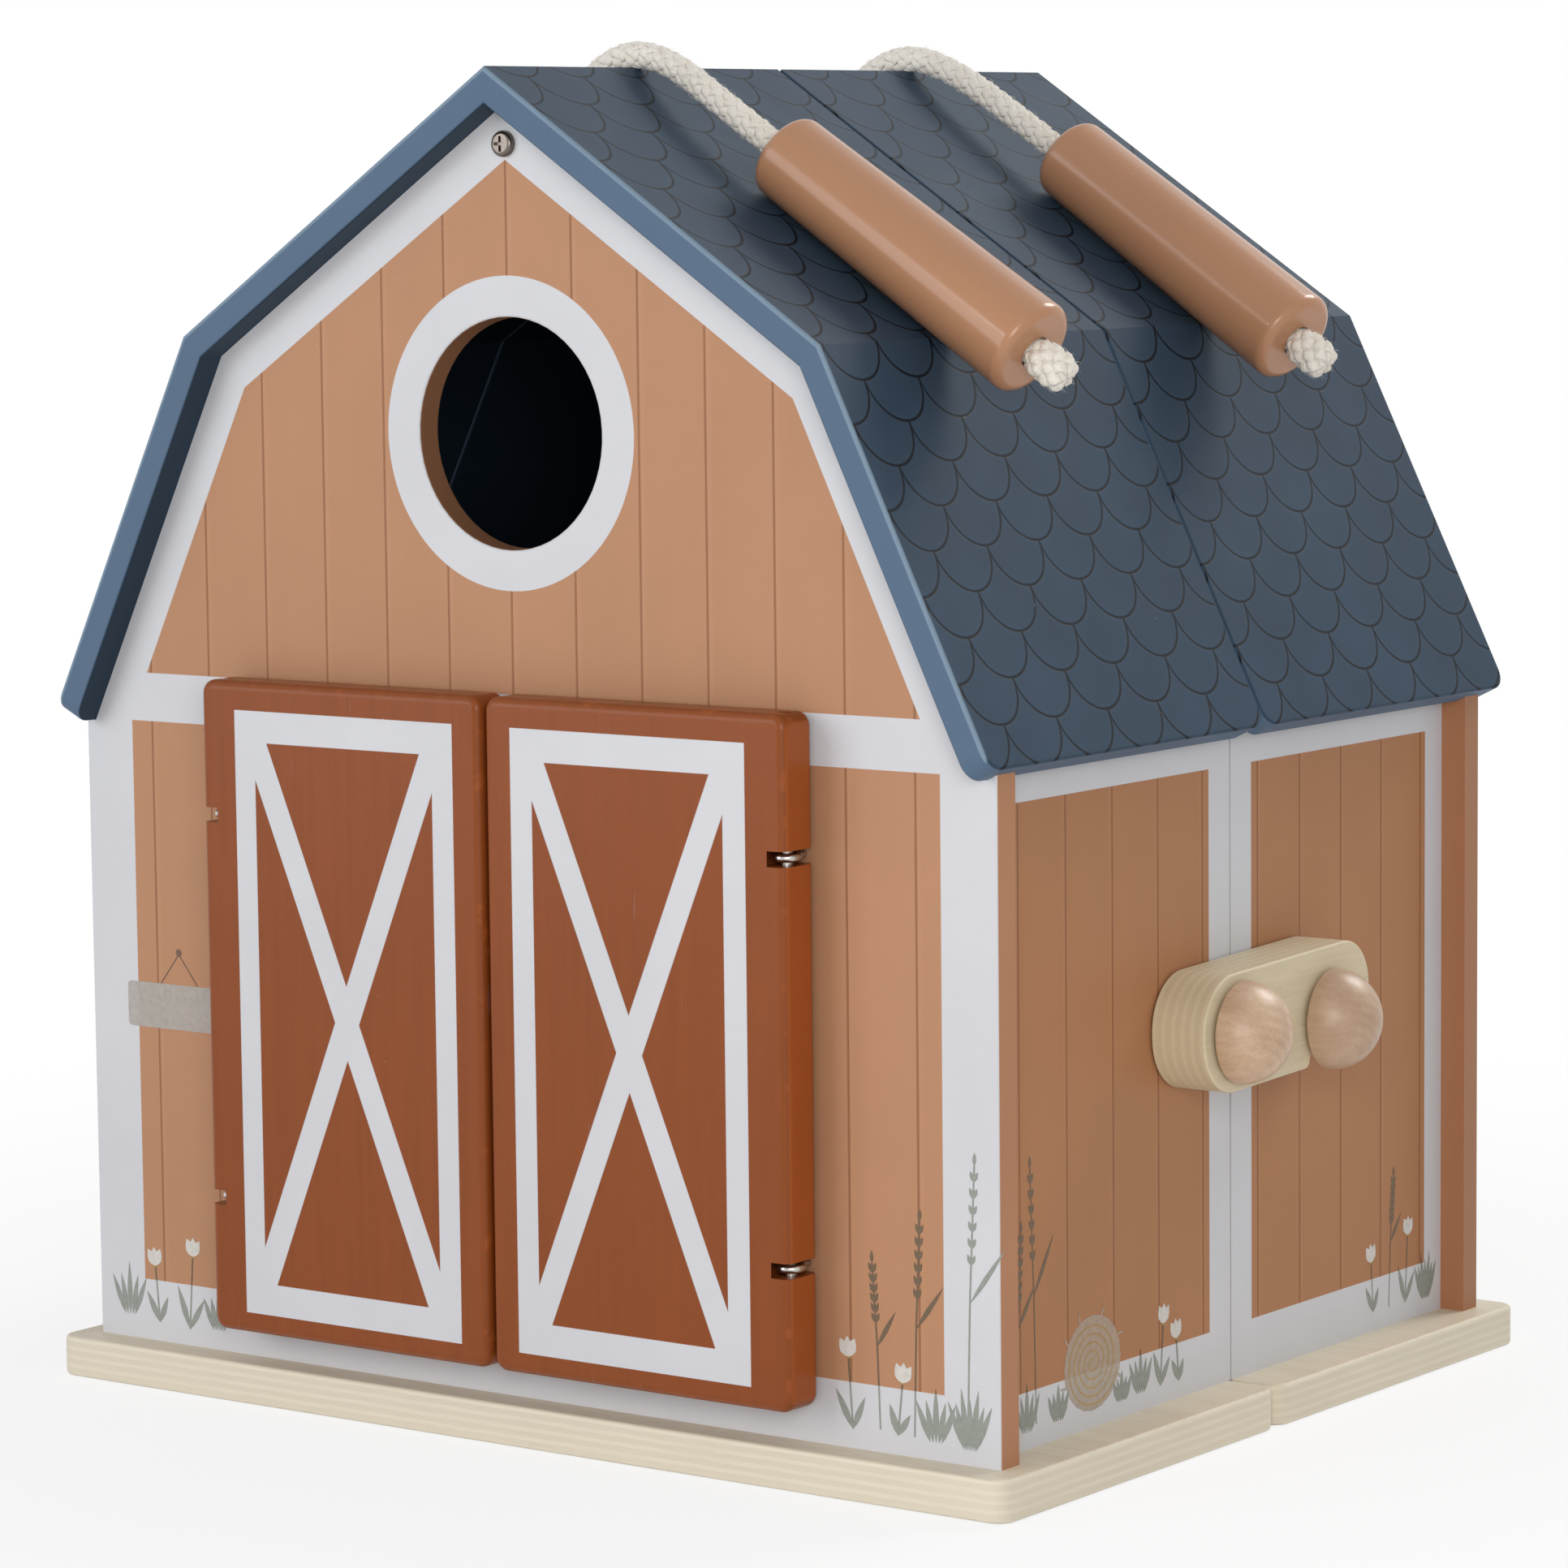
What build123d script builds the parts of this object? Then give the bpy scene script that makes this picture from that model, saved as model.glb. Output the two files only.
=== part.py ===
from build123d import *
import math
import os

# Toy barn: a wooden play case in two halves that swing apart on a side hinge.
# Millimetres. X points right, the doors face -Y, +Z is up. The origin is on the
# underside of the base, at the middle of the closed barn, on the seam of the halves.
# Each half is built from the same functions: the rear one is the front one's mirror
# image in the seam, without doors or window.

# Fits
SEAM_GAP = 0.6            # between the two closed halves
RUNNING_GAP = 0.1         # round a shaft that turns
SCREW_GAP = 0.05          # round a screw in its hole
CLEAR_GAP = 0.35          # between pieces that pass or rest on each other

# Base board
BASE_WIDTH = 300.0
BASE_DEPTH = 245.0
BASE_THICKNESS = 10.5
BASE_CORNER = 5.0
BASE_ROUND = 1.0

# Walls
GABLE_INSET = 7.0         # from the base's side edge to the gable's
GABLE_SETBACK = 9.2       # from the base's front edge to the gable's face
WALL_THICKNESS = 7.5
WALL_ROUND = 0.8
SIDE_INSET = 7.0          # from the gable's edge to the side wall's face
WINDOW_RADIUS = 28.4
WINDOW_HEIGHT = 250.0

# Gambrel roof, given by its outer face
EAVE_HEIGHT = 176.0
EAVE_OVERHANG = 3.7       # past the gable's edge
LOWER_RISE = 97.0
UPPER_RISE = 66.1
UPPER_RUN = 99.3          # from the ridge to the break between the slopes
ROOF_THICKNESS = 7.6
ROOF_OVERHANG = 8.0       # past the gable's face
ROOF_CORNER = 5.0
ROOF_ROUND = 0.8

# Ridge beam and the screw that holds each gable to it
BEAM_WIDTH = 16.0
BEAM_DEPTH = 17.0
GABLE_SCREW_DROP = 9.6    # below the inner ridge line
GABLE_SCREW_LENGTH = 24.0

# Doors
DOOR_WIDTH = 90.7
DOOR_HEIGHT = 167.0
DOOR_THICKNESS = 12.0
DOOR_BASE_GAP = 9.2       # above the base board
DOOR_WALL_GAP = 1.0
DOOR_MEETING_GAP = 1.6
DOOR_CORNER = 3.5
DOOR_ROUND = 2.2
DOORWAY_SIDE_LAP = 14.5   # how far a closed door covers the wall round the doorway
DOORWAY_SILL_LAP = 6.8
DOORWAY_HEAD_LAP = 11.7
DOORWAY_CORNER = 6.0

# Door hinges: a rod in each door, turning in two screw eyes
ROD_RADIUS = 1.6
ROD_EDGE = 3.8            # from the door's outer edge to the rod's middle
ROD_END_COVER = 6.0       # wood below the rod
ROD_SINK = 1.5            # the rod's top, below the door's top
EYE_WIRE = 2.1
EYE_SHANK_RADIUS = 0.9
EYE_END_DISTANCE = 34.35  # from the door's ends to the eyes
EYE_WALL_COVER = 1.0      # wood left behind the shank
EYE_SLOT_GAP = 0.85       # above and below the ring
SLOT_CUTTER_INSET = 0.7   # from the door's edge to the cutter's middle
SLOT_SHANK_GAP = 0.5
SLOT_RING_GAP = 0.6

# Side latch: two knobs and a slotted arm
KNOB_RADIUS = 12.8
KNOB_NECK_RADIUS = 6.0
KNOB_ROUND = 0.8
KNOB_HEIGHT = 102.9
REAR_KNOB_DROP = 2.2
KNOB_SEAM_DISTANCE = 21.5
KNOB_ARM_GAP = 0.8
ARM_THICKNESS = 15.0
ARM_WALL_GAP = 0.7
ARM_WIDTH = 29.3
ARM_BACK_REACH = 15.8     # from the pivot to the arm's near end
ARM_HOOK_WIDTH = 13.0     # wood beyond the slot
ARM_HOOK_DROP = 10.6      # the hook's tip, below the pivot
ARM_TILT = 2.0
ARM_CORNER = 12.0
ARM_TIP_CORNER = 4.5
ARM_MOUTH_CORNER = 2.0
ARM_ROUND = 0.6
SLOT_NECK_GAP = 1.0
SLOT_SWEEP = 60.0
KNOB_SCREW_RADIUS = 2.0
KNOB_SCREW_HEAD_RADIUS = 3.8
KNOB_SCREW_HEAD = 2.4
KNOB_SCREW_REACH = 13.0   # into the knob

# Case hinge on the left side
BATTEN_WIDTH = 14.0
BATTEN_THICKNESS = 12.4
BATTEN_EAVE_GAP = 7.7     # from the batten's top to the eave
BATTEN_ROUND = 2.0
LEAF_THICKNESS = 1.2
LEAF_WIDTH = 12.5
LEAF_LENGTH = 34.0
LEAF_SCREW_EDGE = 4.4     # from a leaf's outer edge to its screws
LEAF_SCREW_END = 5.7
LEAF_END_DISTANCE = 18.0  # from the batten's ends to the leaves
KNUCKLE_RADIUS = 2.0
HINGE_PIN_RADIUS = 1.0
HINGE_PIN_CAP = 0.8

# Small screws
SCREW_RADIUS = 1.2
SCREW_HEAD_RADIUS = 2.3
SCREW_LENGTH = 9.0
BASE_SCREW_RADIUS = 1.6
BASE_SCREW_HEAD_RADIUS = 3.2
BASE_SCREW_LENGTH = 24.0
BASE_SCREW_INNER = 50.0   # from the barn's middle to the screws under the doors
BASE_SCREW_EDGE = 22.0    # from a wall's end to its last screw
PAN_RADIUS = 3.2
PAN_HEIGHT = 1.9
RECESS_WIDTH = 0.8
RECESS_DEPTH = 0.9
RECESS_REACH = 3.8
PAN_CROWN = 0.6           # the share of a head's height that is rounded

# Rope handles
ROPE_RADIUS = 3.75
GRIP_LENGTH = 88.0
GRIP_TOP_RADIUS = 10.75
GRIP_LOW_RADIUS = 12.25
GRIP_ROUND = 2.6
GRIP_BORE_GAP = 0.4
ROPE_HOLE_GAP = 1.7
ROPE_END_RADIUS = 5.1
ROPE_END_LENGTH = 11.0
ROPE_END_ROUND = 2.4
ROPE_KNOT_RADIUS = 8.0
ROPE_KNOT_LENGTH = 14.0
ROPE_KNOT_ROUND = 5.0

# Each rope's route, hand-chosen: (distance down the slope from the ridge, height over the
# slope's outer face, place along the ridge). The left slope comes first, knot to ridge.
FRONT_ROPE_LEFT = [(48.0, -17.0, -49.5), (34.0, 6.5, -52.0), (5.0, 9.2, -57.5)]
FRONT_ROPE_RIGHT = [(4.6, 9.4, -60.5)]
FRONT_GRIP_TOP = (55.7, -70.3)
FRONT_GRIP_LOW_Y = -72.0
REAR_ROPE_LEFT = [(48.5, -17.0, 66.5), (34.5, 6.5, 65.0), (5.2, 9.2, 60.8)]
REAR_ROPE_RIGHT = [(4.4, 9.4, 58.6)]
REAR_GRIP_TOP = (57.8, 52.4)
REAR_GRIP_LOW_Y = 45.2
GRIP_LEAD = 15.0          # straight rope above a grip
ROPE_BEND_SHARE = 0.45

# Worked out from the sizes above
HALF_SEAM = SEAM_GAP / 2
BASE_EDGE = BASE_DEPTH / 2
GABLE_EDGE = BASE_WIDTH / 2 - GABLE_INSET
GABLE_FACE = BASE_EDGE - GABLE_SETBACK
GABLE_BACK = GABLE_FACE - WALL_THICKNESS
SIDE_FACE = GABLE_EDGE - SIDE_INSET
SIDE_BACK = SIDE_FACE - WALL_THICKNESS
EAVE_EDGE = GABLE_EDGE + EAVE_OVERHANG
BREAK_HEIGHT = EAVE_HEIGHT + LOWER_RISE
RIDGE_HEIGHT = BREAK_HEIGHT + UPPER_RISE
ROOF_END = GABLE_FACE + ROOF_OVERHANG
DOOR_OUTER = DOOR_MEETING_GAP / 2 + DOOR_WIDTH
DOOR_LOW = BASE_THICKNESS + DOOR_BASE_GAP
DOOR_TOP = DOOR_LOW + DOOR_HEIGHT
DOOR_BACK = GABLE_FACE + DOOR_WALL_GAP
DOOR_MIDDLE = DOOR_BACK + DOOR_THICKNESS / 2
ROD_X = DOOR_OUTER - ROD_EDGE
EYE_BORE = ROD_RADIUS + RUNNING_GAP
EYE_RADIUS = EYE_BORE + EYE_WIRE / 2
EYE_OUTER = EYE_BORE + EYE_WIRE
EYE_HEIGHTS = (DOOR_LOW + EYE_END_DISTANCE, DOOR_TOP - EYE_END_DISTANCE)
ARM_BACK = SIDE_FACE + ARM_WALL_GAP
ARM_FRONT = ARM_BACK + ARM_THICKNESS
KNOB_BACK = ARM_FRONT + KNOB_ARM_GAP
REAR_KNOB_HEIGHT = KNOB_HEIGHT - REAR_KNOB_DROP
KNOB_SPAN = math.hypot(2 * KNOB_SEAM_DISTANCE, REAR_KNOB_DROP)
SLOT_HALF = KNOB_NECK_RADIUS + SLOT_NECK_GAP
BATTEN_FACE = SIDE_FACE + BATTEN_THICKNESS
HINGE_X = -(BATTEN_FACE + KNUCKLE_RADIUS + CLEAR_GAP)


class Slope:
    """One straight stretch of the roof's outline, from its upper to its lower end."""

    def __init__(self, top, low):
        run, drop = low[0] - top[0], low[1] - top[1]
        self.top, self.low = top, low
        self.length = math.hypot(run, drop)
        self.along = (run / self.length, drop / self.length)
        self.out = (-self.along[1], self.along[0])

    def point(self, down, over, y, side=1):
        """The place that lies so far down the slope and so high over its outer face."""
        x = self.top[0] + down * self.along[0] + over * self.out[0]
        z = self.top[1] + down * self.along[1] + over * self.out[1]
        return Vector(side * x, y, z)


UPPER = Slope((0.0, RIDGE_HEIGHT), (UPPER_RUN, BREAK_HEIGHT))
LOWER = Slope((UPPER_RUN, BREAK_HEIGHT), (EAVE_EDGE, EAVE_HEIGHT))


def mitre(first, second):
    """The step from the outer corner between two slopes to the inner one."""
    dot = first.out[0] * second.out[0] + first.out[1] * second.out[1]
    share = ROOF_THICKNESS / (1 + dot)
    return share * (first.out[0] + second.out[0]), share * (first.out[1] + second.out[1])


BREAK_STEP = mitre(UPPER, LOWER)
INNER_RIDGE = RIDGE_HEIGHT - ROOF_THICKNESS / UPPER.along[0]
INNER_BREAK = (UPPER_RUN - BREAK_STEP[0], BREAK_HEIGHT - BREAK_STEP[1])
INNER_EAVE = (EAVE_EDGE - ROOF_THICKNESS * LOWER.out[0], EAVE_HEIGHT - ROOF_THICKNESS * LOWER.out[1])
BATTEN_TOP = INNER_EAVE[1] - BATTEN_EAVE_GAP
LEAF_PLACES = (
    BASE_THICKNESS + LEAF_END_DISTANCE + LEAF_LENGTH / 2,
    BATTEN_TOP - LEAF_END_DISTANCE - LEAF_LENGTH / 2,
)


def underside_height(x):
    """The height of the roof's underside over a place between the ridge and the eave."""
    if x <= INNER_BREAK[0]:
        return INNER_RIDGE + x * UPPER.along[1] / UPPER.along[0]
    return INNER_EAVE[1] + (x - INNER_EAVE[0]) * LOWER.along[1] / LOWER.along[0]

FROM_START = (Align.CENTER, Align.CENTER, Align.MIN)


def prism(points, low_y, high_y):
    """A solid with an outline in X and Z, between two places along Y."""
    outline = Plane.XZ.offset(-high_y) * Polygon(*points, align=None)
    return extrude(outline, amount=high_y - low_y, dir=(0, -1, 0))


def block(low, high):
    """A box between two corners."""
    size = [b - a for a, b in zip(low, high)]
    return Pos(*low) * Box(*size, align=(Align.MIN, Align.MIN, Align.MIN))


def rod(start, end, radius):
    """A round bar between two points."""
    start, end = Vector(*start), Vector(*end)
    place = Plane(origin=start, z_dir=end - start)
    return place * Cylinder(radius, (end - start).length, align=FROM_START)


def turned(profile, start, toward):
    """A turned piece: its profile is (radius, distance) points, swung round the line from start."""
    place = Plane(origin=Vector(*start), z_dir=Vector(*toward))
    outline = make_face(Plane.XZ * Polyline(*profile, close=True))
    return place * revolve(outline, Axis.Z)


def countersunk(start, toward, radius, head_radius, length, gap=0.0):
    """A countersunk screw, or with a gap the hole for it, with its head flush at start."""
    depth = head_radius - radius
    profile = [
        (0, 0),
        (head_radius + gap, 0),
        (radius + gap, depth),
        (radius + gap, length + gap),
        (0, length + gap),
    ]
    return turned(profile, start, toward)


def pan_screw(start, toward, radius, head_radius, head, length):
    """A pan-head screw with a cross recess, the underside of its head at start."""
    outer = [(head_radius, -head), (head_radius, 0), (radius, 0), (radius, length)]
    profile = [(0, -head), *outer, (0, length)]
    screw = turned(profile, start, toward)
    way = Vector(*toward)
    rim = screw.edges().filter_by(GeomType.CIRCLE).sort_by(lambda e: e.center().dot(way))[:1]
    screw = fillet(rim, min(head, head_radius) * PAN_CROWN)
    recess = Box(RECESS_REACH, RECESS_WIDTH, 2 * RECESS_DEPTH)
    cross = recess + Rot(0, 0, 90) * recess
    return screw - Plane(origin=Vector(*start) - head * way, z_dir=way) * cross


def behind(shape):
    """The rear half's copy of a piece."""
    return mirror(shape, about=Plane.XZ)


def leftward(shape):
    """The left side's copy of a piece on the right."""
    return mirror(shape, about=Plane.YZ)


def parallel_edges(shape, direction):
    """The straight edges that run along a direction."""
    direction = Vector(*direction).normalized()
    straight = shape.edges().filter_by(GeomType.LINE)
    return [e for e in straight if abs((e % 0.5).dot(direction)) > 0.9999]


def base():
    """The front half's base board, screw holes not yet in it."""
    board = block((-BASE_WIDTH / 2, -BASE_EDGE, 0), (BASE_WIDTH / 2, -HALF_SEAM, BASE_THICKNESS))
    board = fillet(board.edges().filter_by(Axis.Z), BASE_CORNER)
    rims = board.edges().group_by(Axis.Z)
    return fillet(rims[0] + rims[-1], BASE_ROUND)


def base_screw_places():
    """Where the base's screws go up into the gable and the side walls."""
    gable_y = -(GABLE_FACE + GABLE_BACK) / 2
    side_x = (SIDE_FACE + SIDE_BACK) / 2
    along_gable = (BASE_SCREW_INNER, GABLE_EDGE - BASE_SCREW_EDGE)
    along_side = (BASE_SCREW_EDGE, GABLE_BACK - BASE_SCREW_EDGE)
    places = [(side * x, gable_y) for side in (-1, 1) for x in along_gable]
    return places + [(side * side_x, -y) for side in (-1, 1) for y in along_side]


def base_screws(gap=0.0):
    """The screws under the front half's base, or the holes for them."""
    sizes = (BASE_SCREW_RADIUS, BASE_SCREW_HEAD_RADIUS, BASE_SCREW_LENGTH, gap)
    return [countersunk((x, y, 0), (0, 0, 1), *sizes) for x, y in base_screw_places()]


def gable_outline():
    """The gable's outline: up its right edge, under the roof and down its left edge."""
    cut = LOWER.out[1] / LOWER.out[0]
    shoulder = INNER_EAVE[1] + (GABLE_EDGE - INNER_EAVE[0]) * cut
    right = [(GABLE_EDGE, BASE_THICKNESS), (GABLE_EDGE, shoulder), INNER_EAVE, INNER_BREAK]
    left = [(-x, z) for x, z in reversed(right)]
    return right + [(0, INNER_RIDGE)] + left


def gable():
    """A plain gable wall of the front half."""
    wall = prism(gable_outline(), -GABLE_FACE, -GABLE_BACK)
    corners = [
        e for e in parallel_edges(wall, (0, 0, 1)) if abs(e.center().Y + GABLE_FACE) < WALL_THICKNESS / 2
    ]
    wall = fillet(corners, WALL_ROUND)
    return wall - gable_screw_hole()


def gable_screw_start():
    """Where the gable screw's head sits."""
    return (0, -GABLE_FACE, INNER_RIDGE - GABLE_SCREW_DROP)


def gable_screw_hole():
    """The hole for the gable screw."""
    x, y, z = gable_screw_start()
    return rod((x, y, z), (x, y + GABLE_SCREW_LENGTH + SCREW_GAP, z), BASE_SCREW_RADIUS + SCREW_GAP)


def doorway():
    """The space cut out of the front gable behind the doors."""
    half = DOOR_OUTER - DOORWAY_SIDE_LAP
    low, top = DOOR_LOW + DOORWAY_SILL_LAP, DOOR_TOP - DOORWAY_HEAD_LAP
    cut = block((-half, -GABLE_FACE, low), (half, -GABLE_BACK, top))
    return fillet(cut.edges().filter_by(Axis.Y), DOORWAY_CORNER)


def front_gable():
    """The front gable, with its window, doorway and the holes for the screw eyes."""
    wall = gable() - doorway()
    wall -= rod((0, -GABLE_FACE, WINDOW_HEIGHT), (0, -GABLE_BACK, WINDOW_HEIGHT), WINDOW_RADIUS)
    rims = [
        e
        for e in wall.edges().filter_by(GeomType.CIRCLE)
        if abs(e.radius - WINDOW_RADIUS) < WALL_ROUND
    ]
    wall = fillet(rims, WALL_ROUND)
    for side in (-1, 1):
        for z in EYE_HEIGHTS:
            wall -= eye_shank(side, z, SCREW_GAP)
    return wall


def side_wall():
    """The front half's right side wall, cut to the slope of the roof at its top."""
    outline = [
        (SIDE_BACK, BASE_THICKNESS),
        (SIDE_FACE, BASE_THICKNESS),
        (SIDE_FACE, underside_height(SIDE_FACE)),
        (SIDE_BACK, underside_height(SIDE_BACK)),
    ]
    return prism(outline, -GABLE_BACK, -HALF_SEAM)


def roof_panel(outline, slope, at_eave):
    """A board of the front half's roof on the right, its free edges rounded."""
    board = prism(outline, -ROOF_END, -HALF_SEAM)
    across = (slope.out[0], 0, slope.out[1])
    if at_eave:
        middle = Vector(EAVE_EDGE, 0, EAVE_HEIGHT)
        corners = [
            e for e in parallel_edges(board, across) if abs(e.center().X - middle.X) < ROOF_THICKNESS
        ]
        board = fillet(corners, ROOF_CORNER)
    joints = [slope.point(0, 0, 0), slope.point(slope.length, 0, 0)]
    joints = joints[:1] if at_eave else joints
    rims = []
    for edge in board.edges():
        over = (edge.center() - slope.point(0, 0, 0)).dot(Vector(*across))
        flat = abs((edge % 0.5).dot(Vector(*across))) < 0.01
        on_face = min(abs(over), abs(over + ROOF_THICKNESS)) < 0.01
        at_joint = edge.geom_type == GeomType.LINE and abs((edge % 0.5).Y) > 0.99 and any(
            math.hypot(edge.center().X - j.X, edge.center().Z - j.Z) < 2 * ROOF_THICKNESS for j in joints
        )
        if flat and on_face and not at_joint:
            rims.append(edge)
    return fillet(rims, ROOF_ROUND)


def roof_upper():
    """The right upper roof board of the front half."""
    outline = [(0, RIDGE_HEIGHT), (UPPER_RUN, BREAK_HEIGHT), INNER_BREAK, (0, INNER_RIDGE)]
    return roof_panel(outline, UPPER, False)


def roof_lower():
    """The right lower roof board of the front half."""
    outline = [(UPPER_RUN, BREAK_HEIGHT), (EAVE_EDGE, EAVE_HEIGHT), INNER_EAVE, INNER_BREAK]
    return roof_panel(outline, LOWER, True)


def ridge_beam():
    """The beam under the front half's ridge, shaped to the roof's underside."""
    half = BEAM_WIDTH / 2
    low = INNER_RIDGE - BEAM_DEPTH
    shoulder = underside_height(half)
    outline = [(-half, low), (half, low), (half, shoulder), (0, INNER_RIDGE), (-half, shoulder)]
    return prism(outline, -GABLE_BACK, -HALF_SEAM) - gable_screw_hole()


def gable_screw():
    """The pan-head screw through the gable into the ridge beam."""
    start = gable_screw_start()
    return pan_screw(start, (0, 1, 0), BASE_SCREW_RADIUS, PAN_RADIUS, PAN_HEIGHT, GABLE_SCREW_LENGTH)


def door_rod(side, top, radius):
    """A door's hinge rod up to a height, or the hole drilled for it."""
    x, low = side * ROD_X, DOOR_LOW + ROD_END_COVER
    return rod((x, -DOOR_MIDDLE, low), (x, -DOOR_MIDDLE, top), radius)


def door(side):
    """A door, slotted at its hinge edge for the two screw eyes."""
    inner, outer = DOOR_MEETING_GAP / 2, DOOR_OUTER
    low_x, high_x = sorted((side * inner, side * outer))
    board = block((low_x, -DOOR_BACK - DOOR_THICKNESS, DOOR_LOW), (high_x, -DOOR_BACK, DOOR_TOP))
    board = fillet(board.edges().filter_by(Axis.Y), DOOR_CORNER)
    rims = board.edges().group_by(Axis.Y)
    board = fillet(rims[0] + rims[-1], DOOR_ROUND)
    cutter_x = DOOR_OUTER - SLOT_CUTTER_INSET
    offset = ROD_EDGE - SLOT_CUTTER_INSET
    at_face = math.hypot(DOOR_THICKNESS / 2, offset + EYE_SHANK_RADIUS + SLOT_SHANK_GAP)
    at_ring = offset + EYE_OUTER + SLOT_RING_GAP
    cutter = max(at_face, at_ring)
    half = EYE_WIRE / 2 + EYE_SLOT_GAP
    for z in EYE_HEIGHTS:
        low = (side * cutter_x, -DOOR_MIDDLE, z - half)
        board -= rod(low, (side * cutter_x, -DOOR_MIDDLE, z + half), cutter)
    return board - door_rod(side, DOOR_TOP, ROD_RADIUS + SCREW_GAP)


def eye_shank(side, height, gap=0.0):
    """The shank of a screw eye, or with a gap the hole for it."""
    x = side * ROD_X
    return rod((x, -DOOR_MIDDLE + EYE_RADIUS, height), (x, -GABLE_BACK - EYE_WALL_COVER + gap, height),
               EYE_SHANK_RADIUS + gap)


def screw_eye(side, height):
    """A screw eye in the gable, its ring lying flat round the door's rod."""
    ring = Pos(side * ROD_X, -DOOR_MIDDLE, height) * Torus(EYE_RADIUS, EYE_WIRE / 2)
    return ring + eye_shank(side, height)


def knob(rear):
    """A half-ball knob on its neck, screwed to the side wall from inside."""
    neck = KNOB_BACK - SIDE_FACE
    profile = Polyline((0, neck + KNOB_RADIUS), (0, 0), (KNOB_NECK_RADIUS, 0), (KNOB_NECK_RADIUS, neck),
                       (KNOB_RADIUS, neck))
    profile += RadiusArc((KNOB_RADIUS, neck), (0, neck + KNOB_RADIUS), -KNOB_RADIUS)
    ball = revolve(Plane.XZ * make_face(profile), Axis.Z)
    rim = [
        e
        for e in ball.edges().filter_by(GeomType.CIRCLE)
        if abs(e.radius - KNOB_RADIUS) < KNOB_ROUND / 2 and abs(e.center().Z - neck) < KNOB_ROUND
    ]
    ball = fillet(rim, KNOB_ROUND)
    piece = Plane(origin=knob_place(rear), z_dir=(1, 0, 0)) * ball
    return piece - knob_screw_hole(rear, SCREW_GAP)


def knob_place(rear):
    """The middle of a knob's foot on the side wall."""
    height = REAR_KNOB_HEIGHT if rear else KNOB_HEIGHT
    return Vector(SIDE_FACE, KNOB_SEAM_DISTANCE if rear else -KNOB_SEAM_DISTANCE, height)


def knob_screw_hole(rear, gap):
    """The hole for a knob's screw, through the wall and into the knob."""
    foot = knob_place(rear)
    return rod((SIDE_BACK, foot.Y, foot.Z), (SIDE_FACE + KNOB_SCREW_REACH + gap, foot.Y, foot.Z),
               KNOB_SCREW_RADIUS + gap)


def knob_screw(rear):
    """The pan-head screw that holds a knob, its head inside the barn."""
    foot = knob_place(rear)
    return pan_screw((SIDE_BACK, foot.Y, foot.Z), (1, 0, 0), KNOB_SCREW_RADIUS, KNOB_SCREW_HEAD_RADIUS,
                     KNOB_SCREW_HEAD, WALL_THICKNESS + KNOB_SCREW_REACH)


def latch_arm():
    """The latch arm, drawn along X from its pivot, then stood on the side wall.

    It is a bar with a hook at its far end: the slot is an arc about the pivot, open below,
    so that the rear knob's neck leaves it when the arm swings up.
    """
    inner, outer = KNOB_SPAN - SLOT_HALF, KNOB_SPAN + SLOT_HALF
    reach, half = outer + ARM_HOOK_WIDTH, ARM_WIDTH / 2
    rise = -math.atan2(REAR_KNOB_DROP, 2 * KNOB_SEAM_DISTANCE) - math.radians(ARM_TILT)
    past = rise - math.radians(SLOT_SWEEP)
    low = [(-ARM_BACK_REACH, -half), (reach, -half)]
    bar = Polygon(*low, (reach, half), (-ARM_BACK_REACH, half), align=None)
    near = bar.vertices().group_by(Axis.X)[0]
    bar = fillet(near, min(half, ARM_BACK_REACH) - ARM_ROUND)
    far = bar.vertices().sort_by_distance((reach, half))[:1]
    bar = fillet(far, ARM_CORNER)
    sector = Circle(outer) - Circle(inner)
    wedge = Polygon(
        (0, 0),
        (2 * reach * math.cos(rise), 2 * reach * math.sin(rise)),
        (2 * reach * math.cos(past), 2 * reach * math.sin(past)),
        align=None,
    )
    neck = (KNOB_SPAN * math.cos(rise), KNOB_SPAN * math.sin(rise))
    bar -= sector & wedge
    bar -= Pos(*neck) * Circle(SLOT_HALF)
    bar -= Pos(reach, -half) * Rectangle(2 * (reach - KNOB_SPAN), 2 * (half - ARM_HOOK_DROP))
    bar -= Circle(KNOB_NECK_RADIUS + RUNNING_GAP)
    mouth = bar.vertices().sort_by_distance((inner, -half))[:1]
    bar = fillet(mouth, ARM_MOUTH_CORNER)
    for tip_x in (math.sqrt(outer**2 - ARM_HOOK_DROP**2), reach):
        bar = fillet(bar.vertices().sort_by_distance((tip_x, -ARM_HOOK_DROP))[:1], ARM_TIP_CORNER)
    plate = extrude(bar, ARM_THICKNESS)
    outline = [
        e
        for e in plate.edges().group_by(Axis.Z)[-1]
        if not (e.geom_type == GeomType.CIRCLE and abs(e.radius - KNOB_NECK_RADIUS) < 2 * RUNNING_GAP)
    ]
    plate = fillet(outline, ARM_ROUND)
    wall = Plane(origin=(ARM_BACK, 0, 0), x_dir=(0, 1, 0), z_dir=(1, 0, 0))
    return Pos(0, -KNOB_SEAM_DISTANCE, KNOB_HEIGHT) * (wall * (Rot(0, 0, ARM_TILT) * plate))


def hinge_batten():
    """The front half's batten for the case hinge, on the left wall beside the seam."""
    low = (-BATTEN_FACE, -HALF_SEAM - BATTEN_WIDTH, BASE_THICKNESS)
    batten = block(low, (-SIDE_FACE, -HALF_SEAM, BATTEN_TOP))
    outer = batten.edges().group_by(Axis.X)[0].filter_by(Axis.Y)
    batten = fillet(outer, BATTEN_ROUND)
    for screw in leaf_screws(SCREW_GAP):
        batten -= screw
    return batten


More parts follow.
